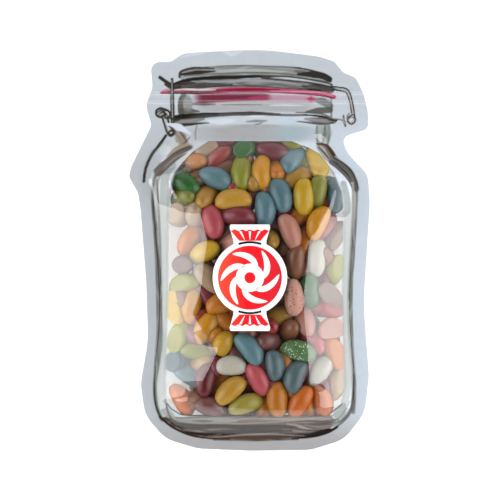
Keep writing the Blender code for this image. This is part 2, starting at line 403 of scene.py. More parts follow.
class Ink(Enum):
    """The inks of the jar drawing, as sRGB hex; some of them carry painted light, glints and glare."""

    # The four flange inks are grey-blue print with painted light and shade: paler at the right and the top, greyer at
    # the foot.
    FLANGE_TOP = "C2C8CF"
    FLANGE_LEFT = "BABFC3"
    FLANGE_RIGHT = "CBD4DE"
    FLANGE_FOOT = "ABAAAC"
    METAL_BLACK = "14120D"
    METAL_DEEP = "282620"
    METAL_DARK = "3E3C36"
    METAL_MID = "686762"
    METAL_GREY = "868885"
    METAL_LIGHT = "AEB2B1"
    METAL_LILAC = "989DA1"
    METAL_PURPLE = "3E3038"
    GASKET = "AC4264"
    GASKET_DEEP = "91002D"
    GASKET_LINE = "7A1E3A"
    GASKET_BLACK = "1C0508"
    GASKET_PALE = "D0748F"
    # The next ink is a painted glint of the film along the zip ridge.
    GASKET_GLINT = "DECDD4"
    GASKET_SOFT = "70223A"
    GASKET_FAINT = "BA96A7"
    GASKET_MAUVE = "A27886"
    # The drawing's own highlight ink, also used for the painted film glints.
    GLINT = "D2D8E2"
    GLASS_NECK = "AEAFB2"
    GLASS_BROWN = "524E47"
    GLASS_GREY = "626663"
    GLASS_BLACK = "0A0702"
    # The next two inks are painted glare of the film over the print.
    GLASS_PALE = "C6CED1"
    GLASS_BLUE = "BECDD6"
    GLASS_UNDER = "9E9EA2"
    GLASS_TEAL = "A0B4BB"
    SHOULDER = "443124"
    SHOULDER_PALE = "7C7265"
    SHOULDER_DARK = "2A221D"
    SHOULDER_TAN = "8F8068"
    SHOULDER_GREY = "60605B"
    NECK_TEAL = "8B938F"
    NECK_DEEP = "69726D"
    WALL_PALE = "8E9692"
    WALL_DARK = "24221D"
    WALL_MID = "6E706A"
    WIRE_DARK = "302C27"
    WIRE_MID = "6E6B65"
    WIRE_LIGHT = "AAABA8"
    BASE_BROWN = "4C3E35"
    BASE_DEEP = "2A1B14"
    BASE_BLACK = "140600"
    BASE_LINE = "2A1A12"
    BASE_PALE = "665C52"
    BASE_PINK = "8A7C72"
    BASE_GREY = "544C44"
    BASE_BEAD = "7E736A"

    @property
    def shown(self) -> Array:
        """The ink as sRGB values, in which inks are blended as they look."""
        return shown(self.value)


class Flavour(Enum):
    """The beans' kinds: a name, the shell's colour, and the colour of its specks if it has them."""

    YELLOW = ("lemon", "B99913")
    GOLD = ("pineapple", "BA8407")
    AMBER = ("honey", "B1892B")
    OCHRE = ("butterscotch", "9E782B")
    ORANGE = ("orange", "AC6A07")
    TANGERINE = ("tangerine", "B15C07")
    PEACH = ("peach", "B1690F")
    LIME = ("lime", "868714")
    OLIVE_LIME = ("pear", "958B35")
    OLIVE = ("kiwi", "7B7C2D")
    GREEN = ("apple", "2C6228")
    GREEN_SPECKLED = ("melon", "4C6E41", "C9DCC4")
    BLUE = ("blueberry", "557780")
    SLATE = ("plum", "506469")
    TEAL = ("bubblegum", "1C4C58")
    ROSE = ("guava", "A97566")
    ROSE_SPECKLED = ("strawberry sundae", "BE9081", "6E3A30")
    YELLOW_SPECKLED = ("mango", "AF8814", "B06A1C")
    DUSK = ("lychee", "755B49")
    MAUVE = ("grape", "683F3A")
    MAGENTA = ("raspberry", "AC4B53")
    RED = ("cherry", "8F2922")
    CRIMSON = ("cranberry", "64141E")
    MAROON = ("fig", "782E38")
    BROWN = ("cola", "794E32")
    CREAM = ("vanilla", "9C8567")
    WHITE = ("coconut", "AFADA0")


# ---- the form


@dataclass
class DieCut:
    """The cut edge of the pouch: corner points in millimetres with fillets, clockwise from the left tab."""

    corners: tuple[tuple[str, float, float, float], ...] = (
        ("left tab, upper corner", -47.5, 89.8, 5.0),
        ("notch between tab and crown", -37.8, 89.6, 4.0),
        ("crown, left end", -31.5, 94.0, 10.0),
        ("crown, middle", 5.0, 95.7, 90.0),
        ("crown, right slope", 33.0, 92.3, 30.0),
        ("crown, right end", 40.2, 89.9, 4.0),
        ("notch beside the crown", 44.6, 84.4, 4.0),
        ("right tab, upper corner", 50.6, 82.2, 5.0),
        ("right tab, side", 54.4, 73.5, 20.0),
        ("right tab, side below", 56.3, 65.5, 20.0),
        ("right tab, lower corner", 56.3, 57.4, 3.4),
        ("notch under the right tab", 43.6, 53.8, 3.6),
        ("right shoulder, start", 46.2, 46.2, 12.0),
        ("right shoulder, end", 56.2, 35.8, 9.0),
        ("right side, upper", 57.1, 22.0, 40.0),
        ("right side, waist", 54.0, -26.0, 150.0),
        ("right side, lower", 56.7, -60.0, 30.0),
        ("right base, upper turn", 54.6, -77.6, 16.0),
        ("right base, lower turn", 44.8, -90.3, 15.0),
        ("base, right end", 29.0, -95.2, 20.0),
        ("base, middle", 0.0, -95.6, 100.0),
        ("base, left end", -24.6, -94.6, 20.0),
        ("left base, lower turn", -40.2, -90.0, 16.0),
        ("left base, upper turn", -50.0, -78.6, 16.0),
        ("left side, lower", -52.0, -63.5, 25.0),
        ("left side, waist", -48.4, -43.0, 60.0),
        ("left side, middle", -49.3, -16.0, 150.0),
        ("left side, upper", -52.0, 19.0, 20.0),
        ("left shoulder, notch", -53.2, 27.0, 5.0),
        ("left shoulder, end", -57.7, 35.0, 4.0),
        ("left shoulder, turn", -56.5, 39.6, 4.0),
        ("left hinge, lower", -46.8, 59.4, 4.0),
        ("left hinge, bulge", -49.6, 68.6, 8.0),
        ("left tab, waist", -46.4, 77.6, 8.0),
    )
    fillet_steps: int = 8
    crown_ends: Point = (-46.3, 50.2)
    foot_ends: Point = (-44.6, 48.2)
    crown_level: float = 78.0
    foot_level: float = -75.0
    fillet_share: float = 0.48

    def __post_init__(self) -> None:
        """Works out the outline and its four sides."""
        self.outline = self._outline()
        top, low = self.outline[:, 1] > self.crown_level, self.outline[:, 1] < self.foot_level
        ends = [self._nearest(x, top) for x in self.crown_ends] + [self._nearest(x, low) for x in self.foot_ends]
        self.crown = self._span(ends[0], ends[1])
        self.right = self._span(ends[1], ends[3])
        self.foot = self._span(ends[3], ends[2])[::-1]
        self.left = self._span(ends[2], ends[0])
        self.closed = np.concatenate((self.outline[::3], self.outline[:1]))  # every third point measures well enough

    def _outline(self) -> Array:
        """Rounds every corner with the arc that touches both its sides, then centres the whole.

        Returns:
            The outline as (x, y), clockwise.
        """
        spots = np.array([corner[1:3] for corner in self.corners])
        radius = np.array([corner[3] for corner in self.corners])
        back, ahead = np.roll(spots, 1, axis=0) - spots, np.roll(spots, -1, axis=0) - spots
        back_length, ahead_length = (np.linalg.norm(v, axis=1) for v in (back, ahead))
        back, ahead = back / back_length[:, None], ahead / ahead_length[:, None]
        half = 0.5 * np.arccos(np.clip((back * ahead).sum(axis=1), -1.0, 1.0))
        reach = np.minimum(radius / np.tan(half), self.fillet_share * np.minimum(back_length, ahead_length))
        middle = (back + ahead) / np.linalg.norm(back + ahead, axis=1)[:, None]
        centre = spots + middle * (reach * np.tan(half) / np.sin(half))[:, None]
        start, end = spots + back * reach[:, None] - centre, spots + ahead * reach[:, None] - centre
        turn = np.arctan2(start[:, 0] * end[:, 1] - start[:, 1] * end[:, 0], (start * end).sum(axis=1))
        angle = turn[:, None] * np.linspace(0.0, 1.0, self.fillet_steps + 1)[None]
        c, s = np.cos(angle), np.sin(angle)
        x = centre[:, :1] + c * start[:, :1] - s * start[:, 1:]
        y = centre[:, 1:] + s * start[:, :1] + c * start[:, 1:]
        points = np.stack((x, y), axis=2).reshape(-1, 2)
        return points - 0.5 * (points.min(axis=0) + points.max(axis=0))

    def _nearest(self, x: float, half: Array) -> int:
        """Finds the outline point nearest to x within one half."""
        return int(np.argmin(np.where(half, np.abs(self.outline[:, 0] - x), np.inf)))

    def _span(self, first: int, last: int) -> Array:
        """Cuts the outline from one point to another, clockwise."""
        count = len(self.outline)
        return self.outline[(first + np.arange((last - first) % count + 1)) % count]

    def side(self, side: Array, levels: Array) -> Array:
        """Finds the places of a side at these levels."""
        order = np.argsort(side[:, 1])
        return np.stack((np.interp(levels, side[order, 1], side[order, 0]), levels), axis=1)

    def across(self, levels: Array, columns: int) -> Array:
        """Rules straight rows across the pouch at these levels, as a grid of (x, y).

        Args:
            levels: the rows' levels.
            columns: points in a row.

        Returns:
            The grid, rows upwards.
        """
        left, right = self.side(self.left, levels), self.side(self.right, levels)
        share = np.linspace(0.0, 1.0, columns)[None, :, None]
        return (1 - share) * left[:, None] + share * right[:, None]

    def end_block(self, level: float, rows: int, columns: int, crown: bool) -> Array:
        """Fills the part beyond a level by a Coons patch: the blend of its sides plus that of its ends less corners.

        Args:
            level: where the straight rows stop.
            rows: rows of points.
            columns: points in a row.
            crown: True for the crown, False for the foot.

        Returns:
            The grid of (x, y), rows upwards.
        """
        arc = self.crown if crown else self.foot
        steps = np.linalg.norm(np.diff(arc, axis=0), axis=1)
        run = np.concatenate(([0.0], np.cumsum(steps)))
        even = np.linspace(0.0, 1.0, columns)
        curved = np.stack([np.interp(even * run[-1], run, arc[:, k]) for k in (0, 1)], axis=1)
        straight = self.across(np.array([level]), columns)[0]
        lower, upper = (straight, curved) if crown else (curved, straight)
        left = self.side(self.left, np.linspace(lower[0, 1], upper[0, 1], rows))
        right = self.side(self.right, np.linspace(lower[-1, 1], upper[-1, 1], rows))
        u, v = even[None, :, None], np.linspace(0.0, 1.0, rows)[:, None, None]
        corners = (1 - u) * (1 - v) * lower[0] + u * (1 - v) * lower[-1] + (1 - u) * v * upper[0] + u * v * upper[-1]
        return (1 - u) * left[:, None] + u * right[:, None] + (1 - v) * lower[None] + v * upper[None] - corners


@dataclass
class Pillow:
    """The filled form: how high the front and back film stand over the flat plan."""

    cut: DieCut
    seal_width: float = 7.0
    edge_thickness: float = 0.8
    side_run: float = 29.0
    top_run: float = 52.0
    fill_top: float = 65.0
    front_rise: float = 14.0
    flange_height: float = 8.0
    header_droop: float = 3.0
    back_fall: float = 11.0
    shoulder_left: tuple[Point, Point] = ((-34.5, 60.0), (-47.4, 34.0))
    shoulder_right: tuple[Point, Point] = ((39.3, 60.0), (51.2, 31.0))
    zip_levels: tuple[float, ...] = (74.6, 70.4)
    zip_height: float = 0.6
    zip_reach: float = 0.75
    crease_share: float = 0.82
    crease_round: float = 0.05
    seal_ease: float = 0.9
    dome_span: float = 52.0
    fill_round: float = 0.16
    droop_levels: Point = (45.0, 95.0)
    middle: Point = (-15.0, 15.0)  # from the left side's creases to the right side's
    blend: float = -5.0  # the power by which fields are blended into the least of them
    # how far in from the seal the film stays steep, as (level, run): this is where its creases lie
    crease_left: tuple[Point, ...] = ((66, 50), (56, 48), (46, 30), (36, 9.5), (30, 8.5), (24, 10.5), (17, 20),
                                      (5, 22.5), (-8, 20), (-20, 18), (-30, 14), (-38, 18.5), (-46.5, 26),
                                      (-54, 23.5), (-62, 21), (-71, 12.5), (-80, 14.5), (-88, 18.5))
    crease_right: tuple[Point, ...] = ((66, 50), (56, 48), (46, 30), (36, 10), (27, 9), (20, 11.5), (9, 16.5),
                                       (5, 19.5), (-5, 20), (-21, 21), (-31, 21), (-45, 20.5), (-62, 20.5),
                                       (-67, 15.5), (-75, 11.5), (-80, 14.5), (-88, 18.5))

    def _beside(self, x: Array, y: Array, line: tuple[Point, Point], inward: float) -> Array:
        """Measures inwards from a straight line through two points."""
        (x0, y0), (x1, y1) = line
        return inward * ((x - x0) * (y1 - y0) - (y - y0) * (x1 - x0)) / math.hypot(x1 - x0, y1 - y0)

    def inside(self, x: Array, y: Array) -> Array:
        """Measures in from the pocket's sides: the seal's inner edge and the two shoulder lines, blended.

        Args:
            x: the places' x in mm.
            y: the places' y in mm.

        Returns:
            The distance in from the nearest side.
        """
        seal = np.maximum(near_path(x, y, self.cut.closed)[0] - self.seal_width, 1e-3)
        left = np.maximum(self._beside(x, y, self.shoulder_left, -1.0), 1e-3)
        right = np.maximum(self._beside(x, y, self.shoulder_right, 1.0), 1e-3)
        return (seal**self.blend + left**self.blend + right**self.blend) ** (1.0 / self.blend)

    def flange(self, y: Array) -> Array:
        """Gives the level of the sealed film: even beside the pillow, drooping along the header."""
        low, high = self.droop_levels
        return self.flange_height - self.header_droop * np.clip((y - low) / (high - low), 0.0, 1.0) ** 2

    def front(self, x: Array, y: Array) -> Array:
        """Gives the height of the front film: a steep straight run in from the seal, a crease, then a low dome.

        Args:
            x: the places' x in mm.
            y: the places' y in mm.

        Returns:
            The height in mm.
        """
        side = self.inside(x, y)
        levels = [np.array(table)[::-1] for table in (self.crease_left, self.crease_right)]
        run_left, run_right = (np.interp(y, table[:, 0], table[:, 1]) for table in levels)
        run = run_left + (run_right - run_left) * eased(x, *self.middle)
        steep = self.crease_share * side / run * (1.0 + self.seal_ease / run) * side / (side + self.seal_ease)
        bend = np.clip((side - run) / (self.dome_span - run), -1.0, 1.0)
        dome = self.crease_share + (1.0 - self.crease_share) * np.sin(0.5 * math.pi * bend)
        top = np.sin(0.5 * math.pi * np.clip((self.fill_top - y) / self.top_run, 0.0, 1.0))
        creased = rounded_least(steep, dome, self.crease_round)
        share = np.clip(rounded_least(creased, top, self.fill_round), 0.0, 1.0)
        ridge = sum(np.exp(-(((y - level) / self.zip_reach) ** 2)) for level in self.zip_levels)
        return self.flange(y) + self.edge_thickness + self.front_rise * share + self.zip_height * ridge

    def back(self, x: Array, y: Array) -> Array:
        """Gives the height of the back film: it falls from the seal and is pressed flat on what it lies on.

        Args:
            x: the places' x in mm.
            y: the places' y in mm.

        Returns:
            The height in mm.
        """
        share = (np.maximum(self.inside(x, y) / self.side_run, 1e-4) ** self.blend
                 + np.maximum((self.fill_top - y) / self.top_run, 1e-4) ** self.blend) ** (1.0 / self.blend)
        fall = self.back_fall * np.sin(0.5 * math.pi * np.clip(share, 0.0, 1.0))
        return np.maximum(self.flange(y) - fall, 0.0)


# ---- film and print


def stacked(*blocks: Array) -> Array:
    """Stacks plan grids of one width on each other, dropping each repeated row."""
    return np.concatenate([blocks[0]] + [block[1:] for block in blocks[1:]])


@dataclass
class FilmShell:
    """The pouch's clear laminate: front and back film joined along the cut edge into one closed skin."""

    pillow: Pillow
    finish: ClearFilm = ClearFilm()
    columns: int = 112
    foot_rows: int = 20
    crown_rows: int = 18
    row_pitch: float = 1.05
    fine_pitch: float = 0.3
    zip_margin: float = 2.0  # the fine rows reach this far past the zip ridges
    sharpest: float = math.radians(55.0)

    def build(self) -> bpy.types.Object:
        """Builds the skin: the plan grid lifted to the front and the back height, and a strip round the rim.

        Returns:
            The film.
        """
        cut = self.pillow.cut
        high = max(self.pillow.zip_levels) + self.zip_margin
        low = min(self.pillow.zip_levels) - self.zip_margin
        levels = np.concatenate((np.arange(cut.foot_level, low, self.row_pitch),
                                 np.arange(low, high, self.fine_pitch), np.linspace(high, cut.crown_level, 3)))
        plan = stacked(cut.end_block(cut.foot_level, self.foot_rows, self.columns, False),
                       cut.across(levels, self.columns),
                       cut.end_block(cut.crown_level, self.crown_rows, self.columns, True))
        rows, columns = plan.shape[:2]
        x, y = plan[..., 0].ravel(), plan[..., 1].ravel()
        front = np.stack((x, y, self.pillow.front(x, y)), axis=1)
        back = np.stack((x, y, self.pillow.back(x, y)), axis=1)
        count = rows * columns
        number = np.arange(count).reshape(rows, columns)
        rim = np.concatenate((number[0], number[1:, -1], number[-1, -2::-1], number[-2:0:-1, 0]))
        ahead = np.roll(rim, -1)
        strip = np.stack((rim, rim + count, ahead + count, ahead), axis=1)
        faces = [grid_faces(rows, columns), grid_faces(rows, columns, count, flip=True), strip]
        piece = new_piece("pouch_film", np.concatenate((front, back)), faces, self.finish.make())
        piece.data.set_sharp_from_angle(angle=self.sharpest)
        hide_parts("pouch")
        return piece


SMUDGY = 0.6  # mm of soft edge above which a mark also fades at both its ends


@dataclass(frozen=True)
class Stroke:
    """One mark of the jar drawing, or a painted film glint: an ink carried along a curve, with its width at start,
    middle and end in mm.

    A bead pitch breaks the mark into dots, a streak pitch brushes it into lines, and smudgy marks fade at their ends.
    """

    name: str
    ink: Ink
    widths: tuple[float, float, float]
    points: tuple[float, ...]  # x and y in turn
    soft: float = 0.4
    strength: float = 1.0
    bead: float = 0.0
    streak: float = 0.0

    def lay(self, x: Array, y: Array, colour: Array) -> None:
        """Lays the ink over the colours: full within half the width of the curve, easing out over the soft edge.

        Args:
            x: the places' x in mm.
            y: the places' y in mm.
            colour: the colours there, which it changes.
        """
        LOG.debug("stroke: %s", self.name)
        path = smooth_path(np.reshape(self.points, (-1, 2)), 7)
        reach = 0.5 * max(self.widths) + self.soft
        low, high = path.min(axis=0) - reach, path.max(axis=0) + reach
        rows = np.flatnonzero((x > low[0]) & (x < high[0]) & (y > low[1]) & (y < high[1]))
        gap, along = near_path(x[rows], y[rows], path)
        width = 0.5 * np.interp(along, (0.0, 0.5, 1.0), self.widths)
        cover = self.strength * (1.0 - step_up((gap - width + 0.5 * self.soft) / self.soft))
        if self.soft > SMUDGY:
            cover *= step_up((0.5 - np.abs(along - 0.5)) / min(0.45, 0.08 + 0.1 * self.soft))
        run = along * np.hypot(*np.diff(path, axis=0).T).sum()
        if self.bead:
            cover *= 0.72 + 0.28 * np.cos(2.0 * math.pi * run / self.bead)
        if self.streak:
            swing = 0.9 * np.sin(0.11 * run) + 0.5 * np.sin(0.29 * run + 1.0)
            cover *= 0.78 + 0.22 * np.cos(2.0 * math.pi * gap / self.streak + 3.0 * swing)
        colour[rows] += (self.ink.shown - colour[rows]) * cover[:, None]


STROKES = tuple(Stroke(*row) for row in (
    # The three seal shine marks are painted reflections of the crinkled seal edge, laid into the print.
    ("seal shine, left", Ink.GLINT, (0.5, 1.9, 0.5), (-32.6, 91.9, -27.4, 93.6, -20.7, 94.1), 0.6, 0.8),
    ("seal shine, middle", Ink.GLINT, (0.5, 2.1, 0.5), (-13.1, 95, -8.3, 93.5, -3.6, 94.8), 0.6, 0.9),
    ("seal shine, top", Ink.GLINT, (0.5, 1.1, 0.5), (-4.5, 95, 6, 95.5, 19.3, 95), 0.5, 0.8),
    ("lid plate", Ink.METAL_GREY, (4.3, 4.8, 4.3), (-31.2, 83.1, -16.4, 85, 3.1, 85.5, 19.3, 84.7,
     36, 81.4), 0.6, 1, 0, 3.1),
    ("lid lower band", Ink.METAL_MID, (2.9, 4.5, 3.8), (-33.6, 78.1, -21.2, 79.1, 3.1, 79.6, 19.3, 78.9,
     38.3, 76.4), 0.6, 1, 0, 2.6),
    ("lid plate shine", Ink.METAL_LIGHT, (0.5, 2, 0.5), (-18.3, 85.2, -6.9, 85.6, 6, 85.3, 21.2, 85), 0.7, 0.9),
    ("lid top rim, left", Ink.METAL_DARK, (1, 1.3, 0.6), (-33.3, 82.4, -33.1, 84.6, -30.7, 85.9, -26, 86.8,
     -20.7, 86.7, -16.9, 86.5)),
    ("lid top line", Ink.METAL_MID, (0.4, 0.6, 0.8), (-21.7, 87.2, -9.3, 87.9, 3.1, 87.9, 16.9, 87.3,
     24.5, 86.8), 0.3, 0.95),
    ("lid top line, right", Ink.METAL_DARK, (0.5, 1, 0.8), (21.2, 87, 26.4, 86.3, 31.2, 85.1, 36, 83.5, 38, 81.9,
     38.8, 80.2)),
    ("lid wedge, left", Ink.METAL_DEEP, (1, 2, 0.5), (-32.6, 83.7, -26.4, 84.5, -21.7, 84.9, -16.4, 85.3), 0.5),
    ("lid inner line", Ink.METAL_MID, (0.5, 0.7, 0.6), (-31.2, 83, -21.2, 83.7, -9.3, 84.3, 3.1, 84.7, 16.9, 84,
     26, 83), 0.4, 0.95),
    ("lid patch, right", Ink.METAL_MID, (0.7, 1.9, 1), (20.7, 85.2, 25, 85, 28.8, 84.5), 0.7, 0.85),
    ("lid dark block, right", Ink.METAL_DEEP, (1, 3.3, 2.9), (23.1, 83.9, 30.7, 83.7, 35, 83, 38, 81.4), 0.5),
    ("lid heavy line", Ink.METAL_BLACK, (1.4, 1.9, 1), (-36.4, 78.8, -32.1, 80.4, -28.3, 81.2, -23.6, 81.7,
     -17.9, 82.1, -6.9, 82.4, 3.1, 82.8, 9.3, 82.6)),
    ("lid heavy line, upper right", Ink.METAL_DARK, (1.1, 0.7, 0.8), (6.9, 82.8, 16.9, 82.8, 24, 82, 29.8, 81.2,
     35.5, 80.1, 39.3, 78.8)),
    ("lid heavy line, lower right", Ink.METAL_DARK, (1.1, 0.8, 1), (6, 82.1, 12.1, 81.4, 16.9, 81, 24, 80.3,
     28.8, 79.7, 34.5, 78.7, 40.7, 77.1)),
    ("lid lilac band", Ink.METAL_LILAC, (0.5, 1.4, 0.6), (-20.2, 80.2, -8.3, 80.6, 3.1, 80.8, 16.9, 79.9,
     24.5, 78.7), 0.5),
    ("lid purple stripe", Ink.METAL_PURPLE, (0.5, 1.1, 0.4), (-36, 78.6, -31.2, 79.7, -26, 79.9), 0.4, 0.9),
    ("lid streak fan", Ink.METAL_DEEP, (2.9, 2.7, 0.8), (-36, 77.9, -28.3, 78.1, -19.8, 78.5,
     -8.3, 78.9), 0.6, 1, 0, 2),
    ("lid under line", Ink.METAL_PURPLE, (0.4, 0.7, 0.7), (-29.3, 77.3, -16.4, 78.1, -8.3, 78.3, 3.1, 78.1,
     16.9, 77.1, 26.4, 76.7, 33.6, 76.3), 0.4, 0.7),
    ("lid dark block, low right", Ink.METAL_DEEP, (1, 3.3, 2.4), (25.5, 77.9, 32.6, 77.4,
     39.3, 76.2), 0.6, 0.95, 0, 2.4),
    ("neck glass", Ink.GLASS_NECK, (8.1, 8.3, 7.1), (-30.7, 69.8, 3.1, 70.2, 36, 68.8), 1),
    ("neck shade, left", Ink.GLASS_BROWN, (2.4, 2.7, 3), (-31.2, 73.8, -32.4, 71.9, -32.8, 68.6,
     -32.4, 65.2), 0.6, 0.85),
    ("neck wedge, left", Ink.GLASS_BROWN, (2.9, 2.6, 0.7), (-32.6, 66.3, -28.8, 66.3, -24, 66), 0.6, 0.85),
    ("neck haze, left", Ink.METAL_GREY, (2.9, 4.8, 2.9), (-31.2, 74.3, -29.3, 70, -29.8, 65.2), 1.4, 0.8),
    ("neck grey patch, left", Ink.GLASS_BROWN, (0.7, 1.3, 0.5), (-26.9, 69.6, -22.1, 69.4, -16.4, 69.5), 0.6, 0.8),
    ("neck line", Ink.GLASS_GREY, (0.4, 0.7, 0.4), (-13.1, 69.2, -2.1, 69.3, 6, 69.2), 0.5, 0.6),
    ("neck light", Ink.GLINT, (0.4, 0.8, 0.4), (9.8, 68.9, 17.4, 69, 25.5, 68.8), 0.4, 0.9),
    ("neck shade, right upper", Ink.GLASS_GREY, (1.6, 3.8, 3.3), (30.7, 71.7, 35.5, 70.5, 38.3, 68.6), 0.6, 0.75),
    ("neck wedge, right", Ink.GLASS_BROWN, (0.8, 2.9, 2.9), (26.9, 65.7, 32.6, 66.4, 38.3, 66.7), 0.6, 0.85),
    ("neck edge, right", Ink.METAL_DARK, (0.7, 0.7, 1), (38.8, 72.9, 39, 67.6, 39, 62.9), 0.4, 0.5),
    ("ring mirrored in glass", Ink.GASKET_SOFT, (4.3, 3.5, 2.9), (-27.9, 71.7, -13.1, 72.4, -0.7, 72.7,
     12.6, 72.9), 0.7, 0.97),
    ("ring mirrored, light rim", Ink.GASKET, (0.4, 1.1, 0.8), (-20.7, 71, -6.4, 71.4, 4, 71.7, 10.7, 72), 0.6, 0.75),
    ("ring mirrored, bright end", Ink.GASKET, (0.7, 2.1, 1.4), (-0.7, 72.4, 6, 72.6, 10.7, 72.7), 0.6, 0.75),
    ("ring mirrored, haze", Ink.GASKET_FAINT, (2.9, 3.5, 2.4), (7.9, 72.6, 19.3, 72.3, 29.8, 72.1), 1, 0.95),
    ("ring mirrored, spot", Ink.GASKET_PALE, (1.9, 4.1, 1.9), (27.2, 72, 29.3, 71.9, 31.5, 71.8), 0.6, 0.55),
    ("ring mirrored, spot, core", Ink.GASKET, (1, 2.6, 1), (28, 72, 29.3, 71.9, 30.7, 71.8), 0.6, 0.9),
    ("ring mirrored, upper rim", Ink.GASKET_MAUVE, (0.4, 0.6, 0.4), (-26, 74.3, -16.4, 74.5, -2.1, 74.7,
     6.4, 74.6), 0.4, 0.9),
    ("sealing ring", Ink.GASKET, (1.1, 2.6, 2), (-42.1, 75, -36.9, 75.5, -23.6, 75.6, -12.1, 76.2, 0.2, 76.3,
     16.9, 75.7, 26.9, 75, 34.5, 74.4, 40.2, 72.9)),
    ("sealing ring, red core", Ink.GASKET_DEEP, (0.4, 1.4, 0.5), (-17.9, 75.9, -8.3, 76.3, 3.1, 76.5, 14.5, 76.3)),
    ("sealing ring, lower line", Ink.GASKET_LINE, (0.4, 0.7, 0.7), (-13.1, 75.3, 3.1, 75.3, 16.9, 75, 26.4, 74.3,
     34.5, 73.5, 39.8, 72.4), 0.3, 0.9),
    ("sealing ring, pale right", Ink.GASKET_PALE, (0.5, 1, 0.8), (9.8, 75.9, 17.9, 75.7, 26.9, 75.4, 34.5, 74.9,
     39.8, 73.3)),
    ("sealing ring, pale left", Ink.GASKET_PALE, (0.5, 1, 0.5), (-41.4, 75.9, -39.3, 76.3, -37.4, 76.2), 0.4, 0.8),
    ("sealing ring, deep left", Ink.GASKET_DEEP, (0.8, 1.6, 0.8), (-41.7, 74.8, -34, 75, -21.2, 75, -9.3, 75.4)),
    ("sealing ring, dark left", Ink.GASKET_BLACK, (0.7, 1.1, 0.4), (-38.8, 74.8, -30.2, 75, -21.2, 75.1,
     -13.1, 75.6)),
    ("sealing ring, black line right", Ink.GASKET_BLACK, (0.3, 0.6, 0.5), (23.1, 76.8, 27.9, 76.5, 34.5, 75.8,
     39.3, 75.2), 0.3, 0.9),
    # A painted reflection of the film along the zip ridge, laid over the printed sealing ring.
    ("zip ridge glint over the sealing ring", Ink.GASKET_GLINT, (0.5, 1, 0.4), (-36.4, 76.4, -30.2, 76.6, -22.6, 76.3, -16, 76.4), 0.3),
    ("thread grey, left", Ink.GLASS_BROWN, (2.9, 2.9, 0.9), (-35, 61.2, -28.3, 61.3, -21.7, 62.3), 0.6, 0.9, 0, 2),
    ("thread line, left", Ink.GLASS_BLACK, (2.1, 2.6, 1.4), (-36, 62.9, -31.7, 63.6, -23.6, 64, -16, 64.4,
     -8.3, 64.6), 0.5),
    ("thread line, middle", Ink.METAL_DARK, (1.6, 2, 1), (-14, 64.7, -4.5, 64.9, 4, 65, 14.5, 64.5)),
    ("thread line, right", Ink.METAL_DARK, (1, 1, 0.9), (6.9, 64.6, 16.9, 64.2, 24, 64.2, 27.4, 64.3), 0.4, 0.9),
    ("thread line, right dark", Ink.METAL_BLACK, (0.5, 1, 1.3), (25.5, 64.3, 31.2, 64, 35.5, 63.3, 38.8, 62.1,
     41.2, 61.8)),
    ("thread line, upper right", Ink.GLASS_BROWN, (0.4, 0.6, 0.7), (22.1, 65.5, 29.8, 65.3, 34.5, 64.8,
     38.3, 63.3), 0.4, 0.9),
    ("thread shade, right", Ink.GLASS_BROWN, (0.8, 3.3, 2.4), (26.4, 62.4, 33.6, 61.6,
     40.2, 61.4), 0.6, 0.85, 0, 1.5),
    ("thread second line, left", Ink.METAL_BLACK, (1.4, 1.1, 0.4), (-33.1, 59.4, -28.3, 59.7, -23.6, 60.2,
     -19.3, 60.4), 0.4, 0.95),
    ("thread second line, right", Ink.METAL_DARK, (0.4, 0.9, 0.8), (20.7, 61.2, 26.4, 60.8, 32.6, 60, 36.4, 60,
     39.8, 60.7), 0.4, 0.9),
    # The next three marks are painted glare of the film over the header, laid into the print.
    ("film glare over the thread, right", Ink.GLASS_BLUE, (1.4, 4, 1.4), (10.7, 61.4, 17.9, 61.4, 24.5, 62.1), 1.4, 0.95),
    ("film glare over the thread", Ink.GLINT, (0.8, 3.1, 0.8), (-21.2, 61.4, -13.1, 61, -5, 62), 0.8, 0.9),
    ("film glint over the thread, middle", Ink.GLINT, (0.4, 1.1, 0.4), (-1.7, 63.5, 3.1, 63.6, 7.9, 63.3), 0.4, 0.95),
    ("thread brown, middle", Ink.GLASS_GREY, (0.4, 1.3, 0.4), (-2.6, 61, 3.1, 61.3, 9.3, 61.4), 0.7, 0.8),
    ("thread shadow", Ink.METAL_GREY, (1, 2.4, 1), (-13.1, 58.4, 3.1, 58.8, 18.3, 58.6), 1.4, 0.6),
    ("thread tick", Ink.METAL_DARK, (0.4, 0.5, 0.3), (2.9, 59.7, 4.5, 60, 6.4, 60.8), 0.3, 0.8),
    ("glass under the thread", Ink.GLASS_UNDER, (6.7, 7.6, 6.7), (-37.9, 55, 3.1, 55.2, 42.1, 55), 2.9, 0.9),
    ("glass under the thread, blue", Ink.GLASS_TEAL, (3.8, 6.7, 3.8), (3.1, 55.7, 19.8, 55.7, 36.4, 55.7), 3.8, 0.8),
    ("hinge shade", Ink.METAL_GREY, (1.9, 4.3, 2.4), (-43.6, 66.2, -40.2, 64.8, -37.9, 61.9), 0.8, 0.7),
    ("lever", Ink.WIRE_DARK, (1.6, 1.7, 1.9), (-42.7, 82.3, -39.8, 80.2, -36.4, 77.8)),
    ("lever foot", Ink.WIRE_DARK, (1, 1.4, 1.4), (-40.2, 79, -36.9, 77.1, -33.1, 77.9), 0.5, 0.9),
    ("wire, upright", Ink.WIRE_DARK, (1.2, 1.9, 2), (-36.9, 81.5, -36.8, 71.4, -36.5, 60.5)),
    ("wire, upright light", Ink.WIRE_LIGHT, (0.4, 0.6, 0.5), (-37, 81, -36.9, 71.4, -36.6, 61.4), 0.3, 0.9),
    ("wire, upright glass light", Ink.GLINT, (0.5, 0.8, 0.5), (-34.9, 73.3, -34.9, 69, -34.7, 65.2), 0.4, 0.45),
    ("wire foot", Ink.WIRE_DARK, (1, 1.4, 1), (-38.3, 63.1, -35, 61.9, -33.1, 62.5), 0.5, 0.9),
